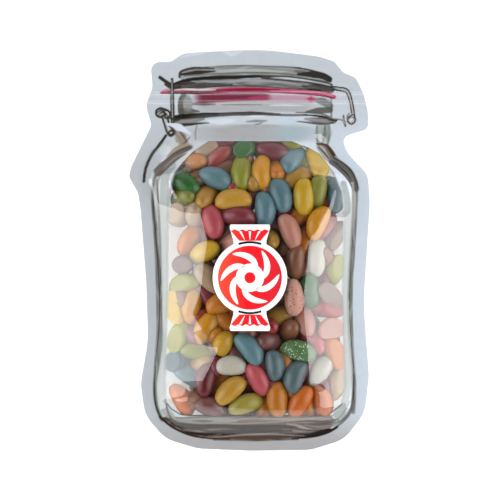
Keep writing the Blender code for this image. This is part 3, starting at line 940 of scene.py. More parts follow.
    ("hinge ring", Ink.WIRE_DARK, (1, 1.1, 1), (-42.6, 67.6, -44.3, 66.4, -44.2, 64.3, -42.5, 63.3, -40.5, 63.8,
     -39.9, 65.4, -40.7, 67.1, -42.6, 67.6)),
    ("hinge ring, coil", Ink.WIRE_DARK, (0.6, 0.7, 0.6), (-43.9, 65.4, -42.6, 66.4, -40.9, 65.9, -40.7, 64.3,
     -42.1, 63.8), 0.3, 0.9),
    ("hinge ring, coil, second", Ink.WIRE_DARK, (0.5, 0.6, 0.5), (-43.1, 64.5, -42, 65.5, -39.8, 65.2,
     -38.8, 63.8), 0.3, 0.9),
    ("hinge ring, inner light", Ink.GLINT, (0.4, 0.6, 0.4), (-40, 65.9, -38.8, 65, -38.5, 63.6), 0.3, 0.9),
    ("hinge ring, second", Ink.WIRE_DARK, (0.8, 1, 0.8), (-42.1, 67.2, -39.3, 66.7, -37.9, 65, -38.6, 63.1,
     -40.2, 62.9)),
    ("hinge link, left", Ink.WIRE_DARK, (0.9, 1, 1), (-41.7, 63.8, -40.5, 60, -39.3, 56.2, -37.6, 54.3, -35.5, 55.5)),
    ("hinge link, light", Ink.WIRE_LIGHT, (0.4, 0.5, 0.4), (-40.9, 63.3, -39.8, 60, -38.6, 56.7), 0.3),
    ("hinge link, right", Ink.WIRE_DARK, (0.8, 1.2, 1), (-39, 63.3, -38.3, 60, -36.6, 57.6, -35.2, 56.2)),
    ("hinge eye", Ink.WIRE_DARK, (0.8, 0.8, 0.8), (-37.4, 57, -38.4, 55.9, -37.4, 54.9, -36.3, 55.9, -37.4, 57), 0.3),
    ("wire, lower", Ink.WIRE_DARK, (1.2, 1.4, 1.3), (-39.8, 54.5, -42.6, 50.5, -46, 46.2, -48.3, 41.9, -49.8, 37.1,
     -50.3, 32.6)),
    # A painted glare spot of the film at the left neck.
    ("film glare, left", Ink.GLASS_PALE, (3.3, 6.2, 3.8), (-41.7, 49.5, -40.3, 47.4, -39.3, 45.2), 0.7, 0.9),
    ("wire, right", Ink.WIRE_DARK, (0.6, 0.7, 0.8), (38.8, 78.1, 42.1, 77.6, 45.5, 77.1, 47.1, 76, 48.3, 73.3,
     49.3, 69, 50, 63.3), 0.3),
    ("wire, right inner", Ink.WIRE_DARK, (0.8, 0.6, 0.5), (40.2, 76.5, 45, 75.5, 46.5, 74.3, 47.9, 70,
     48.6, 65.2), 0.3),
    ("wire, right light", Ink.WIRE_LIGHT, (0.4, 0.7, 0.6), (40.2, 77.2, 45.3, 76.4, 46.9, 75, 48.5, 70,
     49.4, 64.8), 0.3, 0.9),
    ("hook ring", Ink.WIRE_DARK, (0.7, 0.9, 0.7), (49.1, 64.5, 47.1, 63.1, 46.9, 61.2, 48.5, 60, 50.2, 61.1,
     50.3, 63), 0.4, 0.85),
    ("hook coil", Ink.WIRE_MID, (0.4, 0.6, 0.4), (46.2, 61, 47.4, 62.6, 48.8, 63.3, 49.8, 62.2, 48.7, 61), 0.3, 0.85),
    ("hook coil, light", Ink.GLINT, (0.4, 0.6, 0.4), (47.9, 61.9, 49, 62.4, 49.5, 61.2), 0.3, 0.8),
    ("hook tip", Ink.WIRE_MID, (0.5, 0.7, 0.6), (47.6, 65.2, 46.7, 64, 46.5, 62.4), 0.3, 0.9),
    ("hook bar", Ink.WIRE_DARK, (0.7, 1, 0.8), (44.8, 64, 44.9, 61.9, 45.7, 59), 0.4, 0.95),
    ("hook bar, light", Ink.GLINT, (0.3, 0.4, 0.3), (44.7, 63.3, 44.9, 61.6, 45.5, 59.8), 0.3, 0.8),
    ("hook link", Ink.WIRE_MID, (0.5, 0.7, 0.6), (40.2, 62.4, 42.6, 62.2, 44.5, 61.7), 0.3, 0.9),
    ("wall, left pale", Ink.WALL_PALE, (4.3, 4.3, 3.8), (-36.9, 40, -39.8, 34.3, -40.7, 16.7, -40.7, -4.8, -40, -28.6,
     -40.9, -45.2, -42, -64.3, -41.2, -73.3, -37.4, -79), 0.6, 0.95),
    ("wall, left", Ink.WALL_MID, (3.8, 3.1, 1.7), (-41.7, 40, -44.5, 33.3, -45.1, 25.2, -44.5, 13.3, -43.6, 0,
     -43.1, -16.7, -42.9, -33.3, -43.8, -48.6, -44.7, -60, -45, -68.6, -44, -75.2, -41.7, -81), 0.6, 0.95, 0, 2.8),
    ("wall, left line", Ink.WALL_DARK, (0.9, 0.7, 0.4), (-43.6, 38.1, -45.5, 31.4, -45.8, 21.4, -44.8, 8.6,
     -43.6, -5.7, -42.8, -23.8, -43.2, -38.1, -44.2, -48.6), 0.4, 0.7),
    ("wall, left inner line", Ink.WALL_DARK, (0.7, 1.2, 0.5), (-44, 33.3, -43.4, 23.8, -42.9, 11.9, -42.4, -1,
     -42, -16.7), 0.4, 0.8),
    ("wall, left line, low", Ink.WALL_DARK, (0.4, 0.7, 0.9), (-44.8, -55.2, -45.3, -67.6, -44.2, -75.2,
     -41.7, -80.5), 0.4, 0.8),
    ("wall, right pale", Ink.WALL_PALE, (2.9, 4.3, 3.3), (44.5, 31.4, 46.4, 23.8, 46.7, 9.5, 46, -14.3, 45.7, -33.3,
     46.2, -50, 46.4, -65.7, 45, -73.8, 41.2, -78.1), 0.6, 0.95),
    ("wall, right", Ink.WALL_MID, (2.9, 2.8, 2.2), (50.2, 32.4, 50, 21.4, 49.1, 2.4, 48, -14.3, 47.8, -31,
     48.5, -47.6, 49.6, -63.8, 49.3, -77.1), 0.6, 0.95, 0, 2.2),
    ("wall, right line", Ink.WALL_DARK, (1, 1.1, 0.7), (49.5, 31.4, 49.3, 19, 48.5, 2.4, 47.7, -12.4,
     47.4, -23.8), 0.4, 0.8),
    ("wall, right line, low", Ink.WALL_DARK, (0.4, 1, 0.8), (47.6, -32.4, 48.3, -43.8, 49.3, -58.1, 49.5, -69.5,
     48.5, -76.2), 0.4, 0.8),
    ("wall, right low", Ink.METAL_MID, (1.1, 1.4, 1), (49.5, -71.4, 48, -76.7, 45.5, -80.5, 41.2, -84.3), 0.6, 0.9),
    ("neck side, left", Ink.SHOULDER_PALE, (1.9, 5.7, 1.9), (-35, 58.1, -32.6, 53.3, -29.3, 49), 1.4, 0.95, 0, 1.6),
    ("neck side, left tan", Ink.SHOULDER_TAN, (1, 2.9, 1), (-33.6, 55.2, -32.1, 51.4, -34, 47.6), 1, 0.8),
    ("neck side, left dark", Ink.SHOULDER, (0.5, 1.1, 0.5), (-33.6, 56.9, -31.4, 54.3, -29.8, 51), 0.5, 0.7),
    ("neck side, left dark, lower", Ink.SHOULDER, (0.4, 0.9, 0.4), (-28.3, 53.8, -30.2, 51.4, -33.6, 49), 0.4, 0.6),
    ("neck side, left thin", Ink.GLASS_BROWN, (0.5, 0.6, 0.5), (-25, 59, -25.7, 55.7, -25.5, 52.4), 0.4, 0.6),
    ("shoulder, left pale", Ink.SHOULDER_TAN, (1, 2.9, 1.4), (-26.9, 50.2, -31.7, 49.2, -36, 46.7,
     -39.8, 42.9), 0.8, 0.9),
    ("shoulder, left", Ink.SHOULDER, (1.9, 3.8, 4.6), (-27.9, 48.8, -32.6, 46.4, -37.4, 42.6, -41.2, 39.3,
     -43.2, 37.3), 0.5),
    ("shoulder, left line", Ink.SHOULDER_DARK, (0.7, 1.1, 1), (-28.3, 49.3, -34, 46.9, -38.8, 43.3, -43.6, 38.9)),
    ("shoulder, left streak", Ink.SHOULDER_TAN, (0.3, 0.6, 0.4), (-30.2, 46.7, -35.5, 43.6, -40.2, 39.5), 0.3, 0.8),
    ("shoulder, left inner line", Ink.SHOULDER_DARK, (0.4, 0.8, 0.6), (-29.8, 46, -35, 42.4, -39.3, 38.4), 0.3, 0.8),
    ("neck side, right", Ink.NECK_TEAL, (2.9, 3.8, 2.9), (33.3, 60.5, 33.4, 54.8, 33.1, 49), 1.1, 0.95, 0, 2.4),
    ("neck side, right outer", Ink.NECK_DEEP, (1.6, 3.8, 2.9), (36.9, 61.9, 36.9, 55.2, 35.5, 48.6), 1.1, 1, 0, 1.8),
    ("neck side, right line", Ink.SHOULDER_DARK, (0.4, 0.7, 0.5), (32.1, 59, 31.9, 55.2, 32.6, 51.4), 0.4, 0.6),
    ("neck side, right line, outer", Ink.SHOULDER_DARK, (0.4, 0.8, 0.5), (35.5, 59, 35.8, 54.8, 35, 51), 0.4, 0.6),
    ("shoulder, right knot", Ink.SHOULDER_PALE, (4.3, 5.7, 4.3), (34, 49, 37.4, 45.5, 41.2, 41.7), 0.6, 0.95, 0, 1.6),
    ("shoulder, right top", Ink.SHOULDER, (0.8, 1.7, 1.9), (32.1, 50.5, 36, 50, 38.3, 47.8, 40, 45.2), 0.5),
    ("shoulder, right knot line", Ink.SHOULDER_DARK, (0.5, 1, 0.8), (33.1, 48.8, 36, 45.7, 39.3, 41.4), 0.4, 0.8),
    ("shoulder, right knot line, inner", Ink.SHOULDER, (0.4, 0.7, 0.5), (36.4, 48.1, 38.3, 44.8,
     41.7, 41.9), 0.4, 0.8),
    ("shoulder, right grey", Ink.SHOULDER_GREY, (3.3, 4.1, 3.1), (39.3, 43.1, 44, 40, 48.1, 35.7, 50.6, 29.2), 0.6),
    ("shoulder, right", Ink.SHOULDER_DARK, (2.2, 2.9, 1.6), (38.8, 41.9, 42.6, 39.2, 46.1, 35.9, 48.3, 32.4,
     49.6, 29.1), 0.5),
    ("shoulder, right outer line", Ink.WALL_DARK, (0.4, 0.6, 0.5), (40.2, 43.8, 45.5, 40.6, 49.3, 36.2,
     51.7, 30), 0.3, 0.8),
    ("shoulder, right light", Ink.WALL_PALE, (0.3, 0.5, 0.3), (42.1, 40.7, 46.4, 37.3, 49.5, 32.9), 0.3, 0.8),
    # A painted leaf-shaped glint where the film creases at the left neck.
    ("film glint, leaf", Ink.GLINT, (0.7, 3.6, 0.5), (-39.5, 60.2, -34, 58.6, -27.9, 55.2)),
    ("base glass", Ink.BASE_BROWN, (7.1, 10, 7.1), (-28.3, -84.3, -16.4, -85.2, 3.1, -85.5, 23.1, -85.2,
     32.6, -84), 0.6),
    ("base glass, left", Ink.BASE_BROWN, (1, 4.3, 7.1), (-40.7, -80, -35, -81.9, -28.3, -84.3), 0.6),
    ("base glass, right", Ink.BASE_BROWN, (7.1, 4.8, 1.9), (32.6, -84, 37.4, -82.6, 41.7, -81), 0.6),
    ("base dark zone", Ink.BASE_DEEP, (1.9, 3.8, 1.9), (-36.9, -82.9, -23.6, -84.6, -8.3, -84.6, 4, -84.4,
     19.3, -84.3), 0.6, 0.95, 0, 1.2),
    ("base dark zone, right", Ink.BASE_DEEP, (1, 2.9, 1.4), (22.1, -83.1, 31.7, -83.6, 40.2, -82.4), 0.6, 0.9, 1, 1),
    ("base pale band", Ink.BASE_PALE, (2.4, 3.6, 2.9), (-34, -80.7, -16.4, -81, 3.1, -80.8, 24, -80.9,
     38.3, -80), 0.5, 1, 0, 1.4),
    ("base pale band, left", Ink.METAL_GREY, (1.4, 3.3, 1.4), (-38.8, -79, -28.3, -81, -6.4, -80.8), 0.6, 0.9),
    ("base pale band, right", Ink.BASE_PINK, (0.7, 2, 1), (7.9, -79.8, 19.3, -80.2, 29.8, -79.6,
     38.3, -79.2), 0.7, 0.9),
    ("base streak, right", Ink.BASE_PINK, (0.5, 1, 0.5), (19.3, -81.7, 29.8, -81.3, 37.9, -80.3), 0.5, 0.7),
    ("base light line", Ink.BASE_PINK, (0.5, 0.9, 0.5), (-25.5, -81.9, -13.1, -82.4, -2.1, -82.3, 6, -81.9,
     16.4, -81.3), 0.4, 0.95),
    ("base wedge", Ink.BASE_GREY, (0.4, 1.3, 0.4), (-26.9, -81, -21.7, -81.1, -16.9, -81), 0.4, 0.9),
    ("base swoosh", Ink.BASE_PINK, (0.6, 1.7, 0.5), (17.9, -82.6, 22.6, -83.3, 26.9, -84.8, 30.7, -85.5)),
    ("base dark line, upper right", Ink.BASE_DEEP, (0.5, 1, 1), (22.6, -82.4, 29.8, -82.9, 34.5, -82.6, 38.8, -82.2)),
    ("base texture, left", Ink.BASE_BEAD, (0.7, 1.3, 0.7), (-31.2, -85.5, -24.5, -86.2, -16.9, -85.4,
     -6.4, -85.2), 0.3, 1, 1),
    ("base texture, left low", Ink.BASE_PINK, (0.7, 1, 0.7), (-23.6, -88.2, -15, -87.6, -6.4, -86,
     4, -85.4), 0.4, 0.95, 1.1),
    ("base texture, right", Ink.BASE_BEAD, (0.7, 1.3, 0.7), (16.4, -85.2, 23.1, -86.1, 30.7, -85.9,
     38.3, -84.3), 0.3, 1, 1.1),
    ("base texture, right up", Ink.BASE_PINK, (0.5, 1, 0.5), (26, -83, 32.6, -84, 39.3, -83.5), 0.4, 0.95, 1),
    ("base swirl", Ink.BASE_BLACK, (0.4, 0.8, 0.4), (-34, -82.7, -23.6, -83, -11.2, -83.1, 0.2, -83.5,
     12.6, -83.1), 0.4, 0.9),
    ("base swirl, low", Ink.BASE_LINE, (0.4, 0.9, 0.4), (-25.5, -87.4, -16.9, -86.2, -6.4, -85.5,
     6, -85.1), 0.4, 0.9),
    ("base swirl, right", Ink.BASE_BLACK, (0.4, 0.8, 0.4), (19.3, -81.6, 26.9, -81, 34.5, -81.4,
     40.2, -80.8), 0.4, 0.9),
    ("base rim line", Ink.BASE_LINE, (0.4, 0.6, 0.4), (-35, -79.7, -21.7, -79.1, 3.1, -79, 26, -79,
     39.3, -78.5), 0.4, 0.8),
    ("base black wave", Ink.BASE_BLACK, (0.8, 1.5, 0.8), (-34, -84, -25.5, -84.6, -17.9, -83.5, -7.4, -84.1,
     3.1, -84.4, 12.6, -83.5, 22.1, -84), 0.3),
    ("base black wave, low", Ink.BASE_BLACK, (0.7, 1.4, 0.7), (-30.2, -86.7, -21.7, -87.8, -12.1, -86.7,
     -1.7, -85.9), 0.3),
    ("base black wave, right", Ink.BASE_BLACK, (0.7, 1.6, 0.8), (14.5, -87, 22.1, -88, 29.8, -87.3,
     37.9, -85.7), 0.3),
    ("base core", Ink.BASE_BLACK, (0.8, 1.9, 0.7), (-13.1, -87.9, -4.5, -86.7, 3.1, -86.3, 12.1, -86.1, 20.2, -85.9)),
    ("base foot rim", Ink.BASE_BROWN, (1, 1.9, 1), (-16.9, -90.2, 3.1, -90.1, 23.1, -89.9), 0.5, 1, 0, 1.6),
    ("base thin black", Ink.BASE_BLACK, (0.5, 0.9, 0.9), (16.4, -84.2, 22.1, -84.9, 26.9, -85.7, 32.6, -85.9,
     38.8, -85.4), 0.4, 0.95),
    ("base dark streak, left", Ink.BASE_LINE, (0.5, 0.9, 0.5), (-35, -84, -27.4, -84.9, -20.7, -85.9,
     -15, -87.1), 0.4, 0.9),
    ("base dark streak, upper", Ink.BASE_LINE, (0.4, 0.8, 0.4), (-30.2, -84.6, -25.5, -83.9, -17.9, -84.4,
     -13.1, -83.8, -6.4, -84), 0.3, 0.9),
    ("base white line", Ink.BASE_PINK, (0.4, 1, 0.4), (-20.7, -89.1, -12.1, -88.8, -4.5, -88.1, 4, -87.7, 12.6, -87.7,
     19.3, -88.1, 27.9, -88.6)),
    ("base foot line, left", Ink.BASE_LINE, (1.2, 1, 0.6), (-42.6, -79.5, -36.9, -84.1, -30.2, -87.4, -24.5, -88.9,
     -17.9, -89.7, -9.3, -90)),
    ("base foot line, right", Ink.BASE_BLACK, (0.5, 1.5, 1), (20.2, -89.8, 26.9, -89.1, 31.7, -88.3, 37.4, -86.7,
     41.7, -84.3)),
    ("corner line, left", Ink.BASE_LINE, (0.4, 0.8, 1), (-39.5, -71.4, -39.1, -75.7, -37.9, -79, -35.7, -81.9,
     -32.1, -83.3), 0.4, 0.8),
    ("corner panel, right", Ink.WALL_PALE, (1.4, 3.3, 1.4), (38.8, -84.3, 42.6, -81, 46, -76.2), 0.8, 0.9, 1.4),
    ("corner arc, right", Ink.GLASS_GREY, (0.4, 0.6, 0.4), (37.9, -81, 41.7, -80.3, 45, -77.1,
     47.9, -71.9), 0.4, 0.9),
    ("corner arc, right outer", Ink.GLASS_GREY, (0.4, 0.6, 0.4), (38.3, -82.6, 42.6, -81.9, 46, -79,
     48.3, -75.2), 0.4, 0.9),
))


@dataclass
class JarPrint:
    """The jar drawing under the film, with its clear window and a few painted film glints; the cut edge round the
    drawing is grey-blue ink with painted light and shade across it.
    """

    pillow: Pillow
    finish: PrintedInk = PrintedInk()
    strokes: tuple[Stroke, ...] = STROKES
    window_left: tuple[Point, ...] = ((-29.3, -78.6), (-33.3, -78.1), (-37.4, -75.5), (-39.8, -72.4), (-40.2, -61.9),
                                      (-39.3, -23.8), (-38.8, 16.7), (-37.9, 28.1), (-35.2, 36.7), (-32.1, 41.0),
                                      (-26.9, 46.4), (-19.8, 51.4))
    window_right: tuple[Point, ...] = ((37.4, -78.6), (43.6, -73.8), (45.5, -64.3), (45.0, -47.6), (44.5, -23.8),
                                       (45.0, 16.7), (44.0, 27.1), (39.8, 36.7), (36.4, 41.9), (33.1, 45.9),
                                       (27.9, 48.6), (20.2, 51.4))
    top_level: float = 51.4
    low_level: float = -78.6
    fade: float = 1.25
    end_fade: float = 0.12  # the window's edge is sharper at its top and its foot than along its sides
    foot_fade: Point = (-76.0, -66.0)
    top_fade: Point = (44.0, 30.0)
    # Where painted light and shade run across the flange ground:
    painted_light_right: Point = (-30.0, 30.0)
    painted_light_top: Point = (45.0, 75.0)
    painted_shade_foot: Point = (-74.0, -94.0)
    depth: float = 0.12
    front_pitch: float = 0.34
    back_pitch: float = 0.55
    header_size: Point = (104.0, 16.0)
    wall_size: Point = (17.0, 130.0)
    foot_height: float = 17.0

    def ground(self, x: Array, y: Array) -> Array:
        """Gives the colour under the drawing: cool grey, with painted light making it paler to the right and the top,
        and painted shade making it greyer at the foot.

        Args:
            x: the places' x in mm.
            y: the places' y in mm.

        Returns:
            Rows of sRGB values.
        """
        left, right, top, foot = (ink.shown for ink in
                                  (Ink.FLANGE_LEFT, Ink.FLANGE_RIGHT, Ink.FLANGE_TOP, Ink.FLANGE_FOOT))
        colour = left + (right - left) * eased(x, *self.painted_light_right)[:, None]
        colour += (top - colour) * eased(y, *self.painted_light_top)[:, None]
        return colour + (foot - colour) * eased(y, *self.painted_shade_foot)[:, None]

    def window_edge(self, y: Array, right: bool) -> Array:
        """Gives the window's side at each level."""
        table = np.array(self.window_right if right else self.window_left)
        return np.interp(y, table[:, 1], table[:, 0])

    def paint(self, x: Array, y: Array) -> Array:
        """Works out colour and cover at each place: ground, then the strokes in order, faded out at the window.

        Args:
            x: the places' x in mm.
            y: the places' y in mm.

        Returns:
            Rows of linear red, green, blue and cover.
        """
        colour = self.ground(x, y)
        for stroke in self.strokes:
            stroke.lay(x, y, colour)
        along = eased(y, *self.foot_fade) * eased(y, *self.top_fade)
        fade = self.end_fade + (self.fade - self.end_fade) * along
        inwards = np.minimum(x - self.window_edge(y, False), self.window_edge(y, True) - x)
        level = (y > self.low_level - 0.01) & (y < self.top_level + 0.01)
        cover = np.where(level, 1.0 - step_up(0.5 + 0.5 * inwards / fade), 1.0)
        return np.concatenate((to_light(colour), cover[:, None]), axis=1)

    def blocks(self, pitch: float) -> dict[str, list[Array]]:
        """Rules the drawing's plan grids at a pitch: header above the window, then both walls and the foot.

        Args:
            pitch: the distance between points.

        Returns:
            The grids of each part of the print.
        """
        cut = self.pillow.cut
        wide, crown_rows, wall_columns, wall_rows, foot_rows = (
            int(size / pitch) for size in (*self.header_size, *self.wall_size, self.foot_height))
        upper = np.append(np.arange(self.top_level, cut.crown_level, pitch), cut.crown_level)
        levels = np.linspace(self.low_level, self.top_level, wall_rows)
        walls = []
        for side, right in ((cut.left, False), (cut.right, True)):
            outer = cut.side(side, levels)
            inner = self.window_edge(levels, right) + self.fade * (-1.0 if right else 1.0)
            share = np.linspace(0.0, 1.0, wall_columns)[None, :]
            ends = (inner, outer[:, 0]) if right else (outer[:, 0], inner)
            across = (1 - share) * ends[0][:, None] + share * ends[1][:, None]
            walls.append(np.stack((across, np.broadcast_to(levels[:, None], across.shape)), axis=2))
        header = stacked(cut.across(upper, wide), cut.end_block(cut.crown_level, crown_rows, wide, True))
        foot = cut.end_block(self.low_level, foot_rows, wide, False)
        return {"header": [header], "body": [*walls, foot]}

    def _sheet(self, name: str, grids: list[Array], front: bool) -> bpy.types.Object:
        """Lifts plan grids to just inside a film and paints them.

        Args:
            name: the piece's name.
            grids: plan grids of (x, y).
            front: True under the front film, False over the back film.

        Returns:
            The printed sheet.
        """
        faces, start = [], 0
        for grid in grids:
            faces.append(grid_faces(*grid.shape[:2], start, flip=not front))
            start += grid.shape[0] * grid.shape[1]
        x, y = (np.concatenate([grid[..., k].ravel() for grid in grids]) for k in (0, 1))
        height = self.pillow.front(x, y) - self.depth if front else self.pillow.back(x, y) + self.depth
        piece = new_piece(name, np.stack((x, y, height), axis=1), faces, self.finish.make())
        layer = piece.data.attributes.new("ink", "FLOAT_COLOR", "POINT")
        layer.data.foreach_set("color", self.paint(x, y).astype(np.float32).ravel())
        return piece

    def build(self) -> None:
        """Builds the front drawing finely, and the same drawing on the back more coarsely."""
        front, back = self.blocks(self.front_pitch), self.blocks(self.back_pitch)
        for part in front:
            self._sheet("print_front_" + part, front[part], True)
            self._sheet("print_back_" + part, back[part], False)


# ---- beans


@dataclass
class HeightMap:
    """Heights on a raster of 1 mm, read between its points by the four-corner blend."""

    values: Array
    low: float = -100.0

    def at(self, x: Array, y: Array) -> Array:
        """Reads the height at places.

        Args:
            x: the places' x in mm.
            y: the places' y in mm.

        Returns:
            The heights there.
        """
        u, v = (np.clip(a, self.low, -self.low - 2.0) - self.low for a in (x, y))
        i, j = u.astype(int), v.astype(int)
        s, t = u - i, v - j
        k = self.values
        return ((k[j, i] * (1 - s) + k[j, i + 1] * s) * (1 - t) + (k[j + 1, i] * (1 - s) + k[j + 1, i + 1] * s) * t)


@dataclass(frozen=True)
class Spot:
    """A bean seen through the window: where it lies, how it is turned, and how deep its top is under the film."""

    x: float
    y: float
    turn: float
    flavour: Flavour
    depth: float
    size: float = 1.0


SPOTS = tuple(Spot(*row) for row in (
    (-27.9, 41.9, 28, Flavour.ORANGE, 0), (-21.7, 46.7, 40, Flavour.CREAM, 3), (-15, 43.3, 60, Flavour.RED, 0),
    (-13.1, 51.9, 10, Flavour.CRIMSON, 6), (-1.7, 47.6, -8, Flavour.GREEN, 6), (11.2, 47.1, -12, Flavour.CRIMSON, 2),
    (20.2, 42.4, 60, Flavour.BLUE, 1, 0.95), (31.7, 41.4, -68, Flavour.YELLOW, 0, 1.02),
    (-30.7, 31.4, -20, Flavour.GREEN, 0, 0.95), (-16, 33.8, -27, Flavour.BLUE, 0, 1.02),
    (-3.6, 36.7, 88, Flavour.LIME, 0, 1.02), (6.4, 36.7, 90, Flavour.GOLD, 0, 1.03),
    (14, 38.1, 70, Flavour.ORANGE, 7), (21.7, 33.3, 30, Flavour.OCHRE, 6), (-20.2, 25.2, 60, Flavour.OCHRE, 5),
    (-7.4, 23.3, 5, Flavour.AMBER, 0, 1.02), (14.5, 25.7, -75, Flavour.BLUE, 1, 0.98),
    (26, 25.2, 88, Flavour.YELLOW, 0, 1.03), (32.6, 27.1, 85, Flavour.OLIVE, 4), (40.2, 25.7, -76, Flavour.TEAL, 1),
    (6.9, 19, -86, Flavour.BLUE, 0), (-17.4, 13.8, -60, Flavour.MAGENTA, 0), (-33.1, 17.1, 86, Flavour.CREAM, 0),
    (-25, 17.1, 88, Flavour.CREAM, 6, 0.95), (-28.8, 4.8, 48, Flavour.PEACH, 0), (-5, 15.7, -15, Flavour.MAROON, 3),
    (-21.2, -1.4, 27, Flavour.YELLOW, 0, 0.95), (18.8, 8.6, -62, Flavour.ROSE, 0, 1.03),
    (32.1, 12.9, 60, Flavour.GOLD, 0), (39.8, 6.2, 66, Flavour.DUSK, 1), (31.7, -3.8, 78, Flavour.WHITE, 0, 1.05),
    (21.7, -5.7, 85, Flavour.BROWN, 5), (39.8, -9.5, 80, Flavour.LIME, 2), (29.3, -19, 86, Flavour.GREEN, 4),
    (-30.2, -7.1, 5, Flavour.MAUVE, 2, 0.95), (-18.8, -13.3, -28, Flavour.CREAM, 1),
    (-30.7, -16.7, 30, Flavour.LIME, 1), (-26.9, -26.7, 84, Flavour.GOLD, 0, 1.02),
    (-35, -27.1, 88, Flavour.YELLOW, 2), (-12.1, -25.7, 10, Flavour.ORANGE, 2),
    (20.7, -22.4, -84, Flavour.ROSE_SPECKLED, 0, 1.03), (37.9, -22.9, -58, Flavour.DUSK, 1, 1.08),
    (-33.1, -41, 62, Flavour.LIME, 1), (-24.5, -48.1, -8, Flavour.LIME, 0, 1.02), (-20.2, -36.7, 66, Flavour.GOLD, 3),
    (-12.1, -44.3, 70, Flavour.YELLOW_SPECKLED, 0, 0.72), (-0.2, -46.7, -50, Flavour.BLUE, 0, 1.03),
    (9.3, -42.9, -30, Flavour.MAUVE, 3, 0.9), (11.7, -54.3, -80, Flavour.SLATE, 1, 0.85),
    (23.1, -48.1, -8, Flavour.GREEN_SPECKLED, 0), (21.7, -60, 76, Flavour.SLATE, 1, 0.95),
    (33.1, -58.1, 64, Flavour.WHITE, 0, 1.05), (-8.8, -54.8, 3, Flavour.WHITE, 0, 0.86),
    (4, -61, -55, Flavour.MAGENTA, 2), (-20.2, -61.4, 74, Flavour.CRIMSON, 2, 0.98),
    (-9.3, -66.2, 38, Flavour.AMBER, 0), (-1.7, -72.9, 6, Flavour.OLIVE_LIME, 0, 1.03),
    (13.1, -70.5, 84, Flavour.ORANGE, 0), (24, -71.9, 62, Flavour.TANGERINE, 1),
    (34, -71.9, -68, Flavour.TANGERINE, 1), (-32.1, -71, -54, Flavour.TANGERINE, 0),
    (-18.3, -74.3, -25, Flavour.MAUVE, 5), (-34, -53.8, 4, Flavour.TEAL, 4),
    (-27.9, -59.5, -25, Flavour.BLUE, 3, 0.95), (26.4, -33.8, 80, Flavour.ROSE, 3, 0.95),
    (38.8, -36.7, 10, Flavour.ROSE, 1, 0.9), (29.8, -42.9, -60, Flavour.MAGENTA, 5, 0.95),
    (39.8, -49, -76, Flavour.PEACH, 2), (19.3, -38.1, 40, Flavour.BROWN, 5), (8.3, -37.6, 5, Flavour.RED, 4, 0.95),
    (-8.3, 2.9, 35, Flavour.ROSE, 4), (8.8, 4.8, -30, Flavour.OCHRE, 5), (0.2, -5.7, 60, Flavour.GREEN, 1),
    (-6.9, -16.7, -20, Flavour.MAUVE, 1), (6, -20, 75, Flavour.YELLOW, 1), (-0.7, -30, 10, Flavour.CRIMSON, 2),
    (41.2, -63.3, 82, Flavour.CREAM, 3), (10.7, -11.9, 50, Flavour.BLUE, 1),
))


@dataclass(frozen=True)
class Settling:
    """How firmly one turn of settling pushes: each value is the share of what is wrong that it mends."""

    part: float = 0.22  # of the overlap of two beans' balls
    lift: float = 0.5  # of how far a ball is under the back film
    press: float = 0.8  # of how far a ball is over the front film
    inwards: float = 0.12  # of the room that is short where the films are close, pushing into the pouch
    move: float = 1.4  # of the mean push on its balls, by which a bean moves
    swing: float = 1.2  # of their leverage, by which it turns
    heading: float = 0.4  # of how far a bean that is seen has turned from its direction
    spot: float = 0.6  # of how far it has moved in plan
    depth: float = 0.25  # of how far it has moved in depth


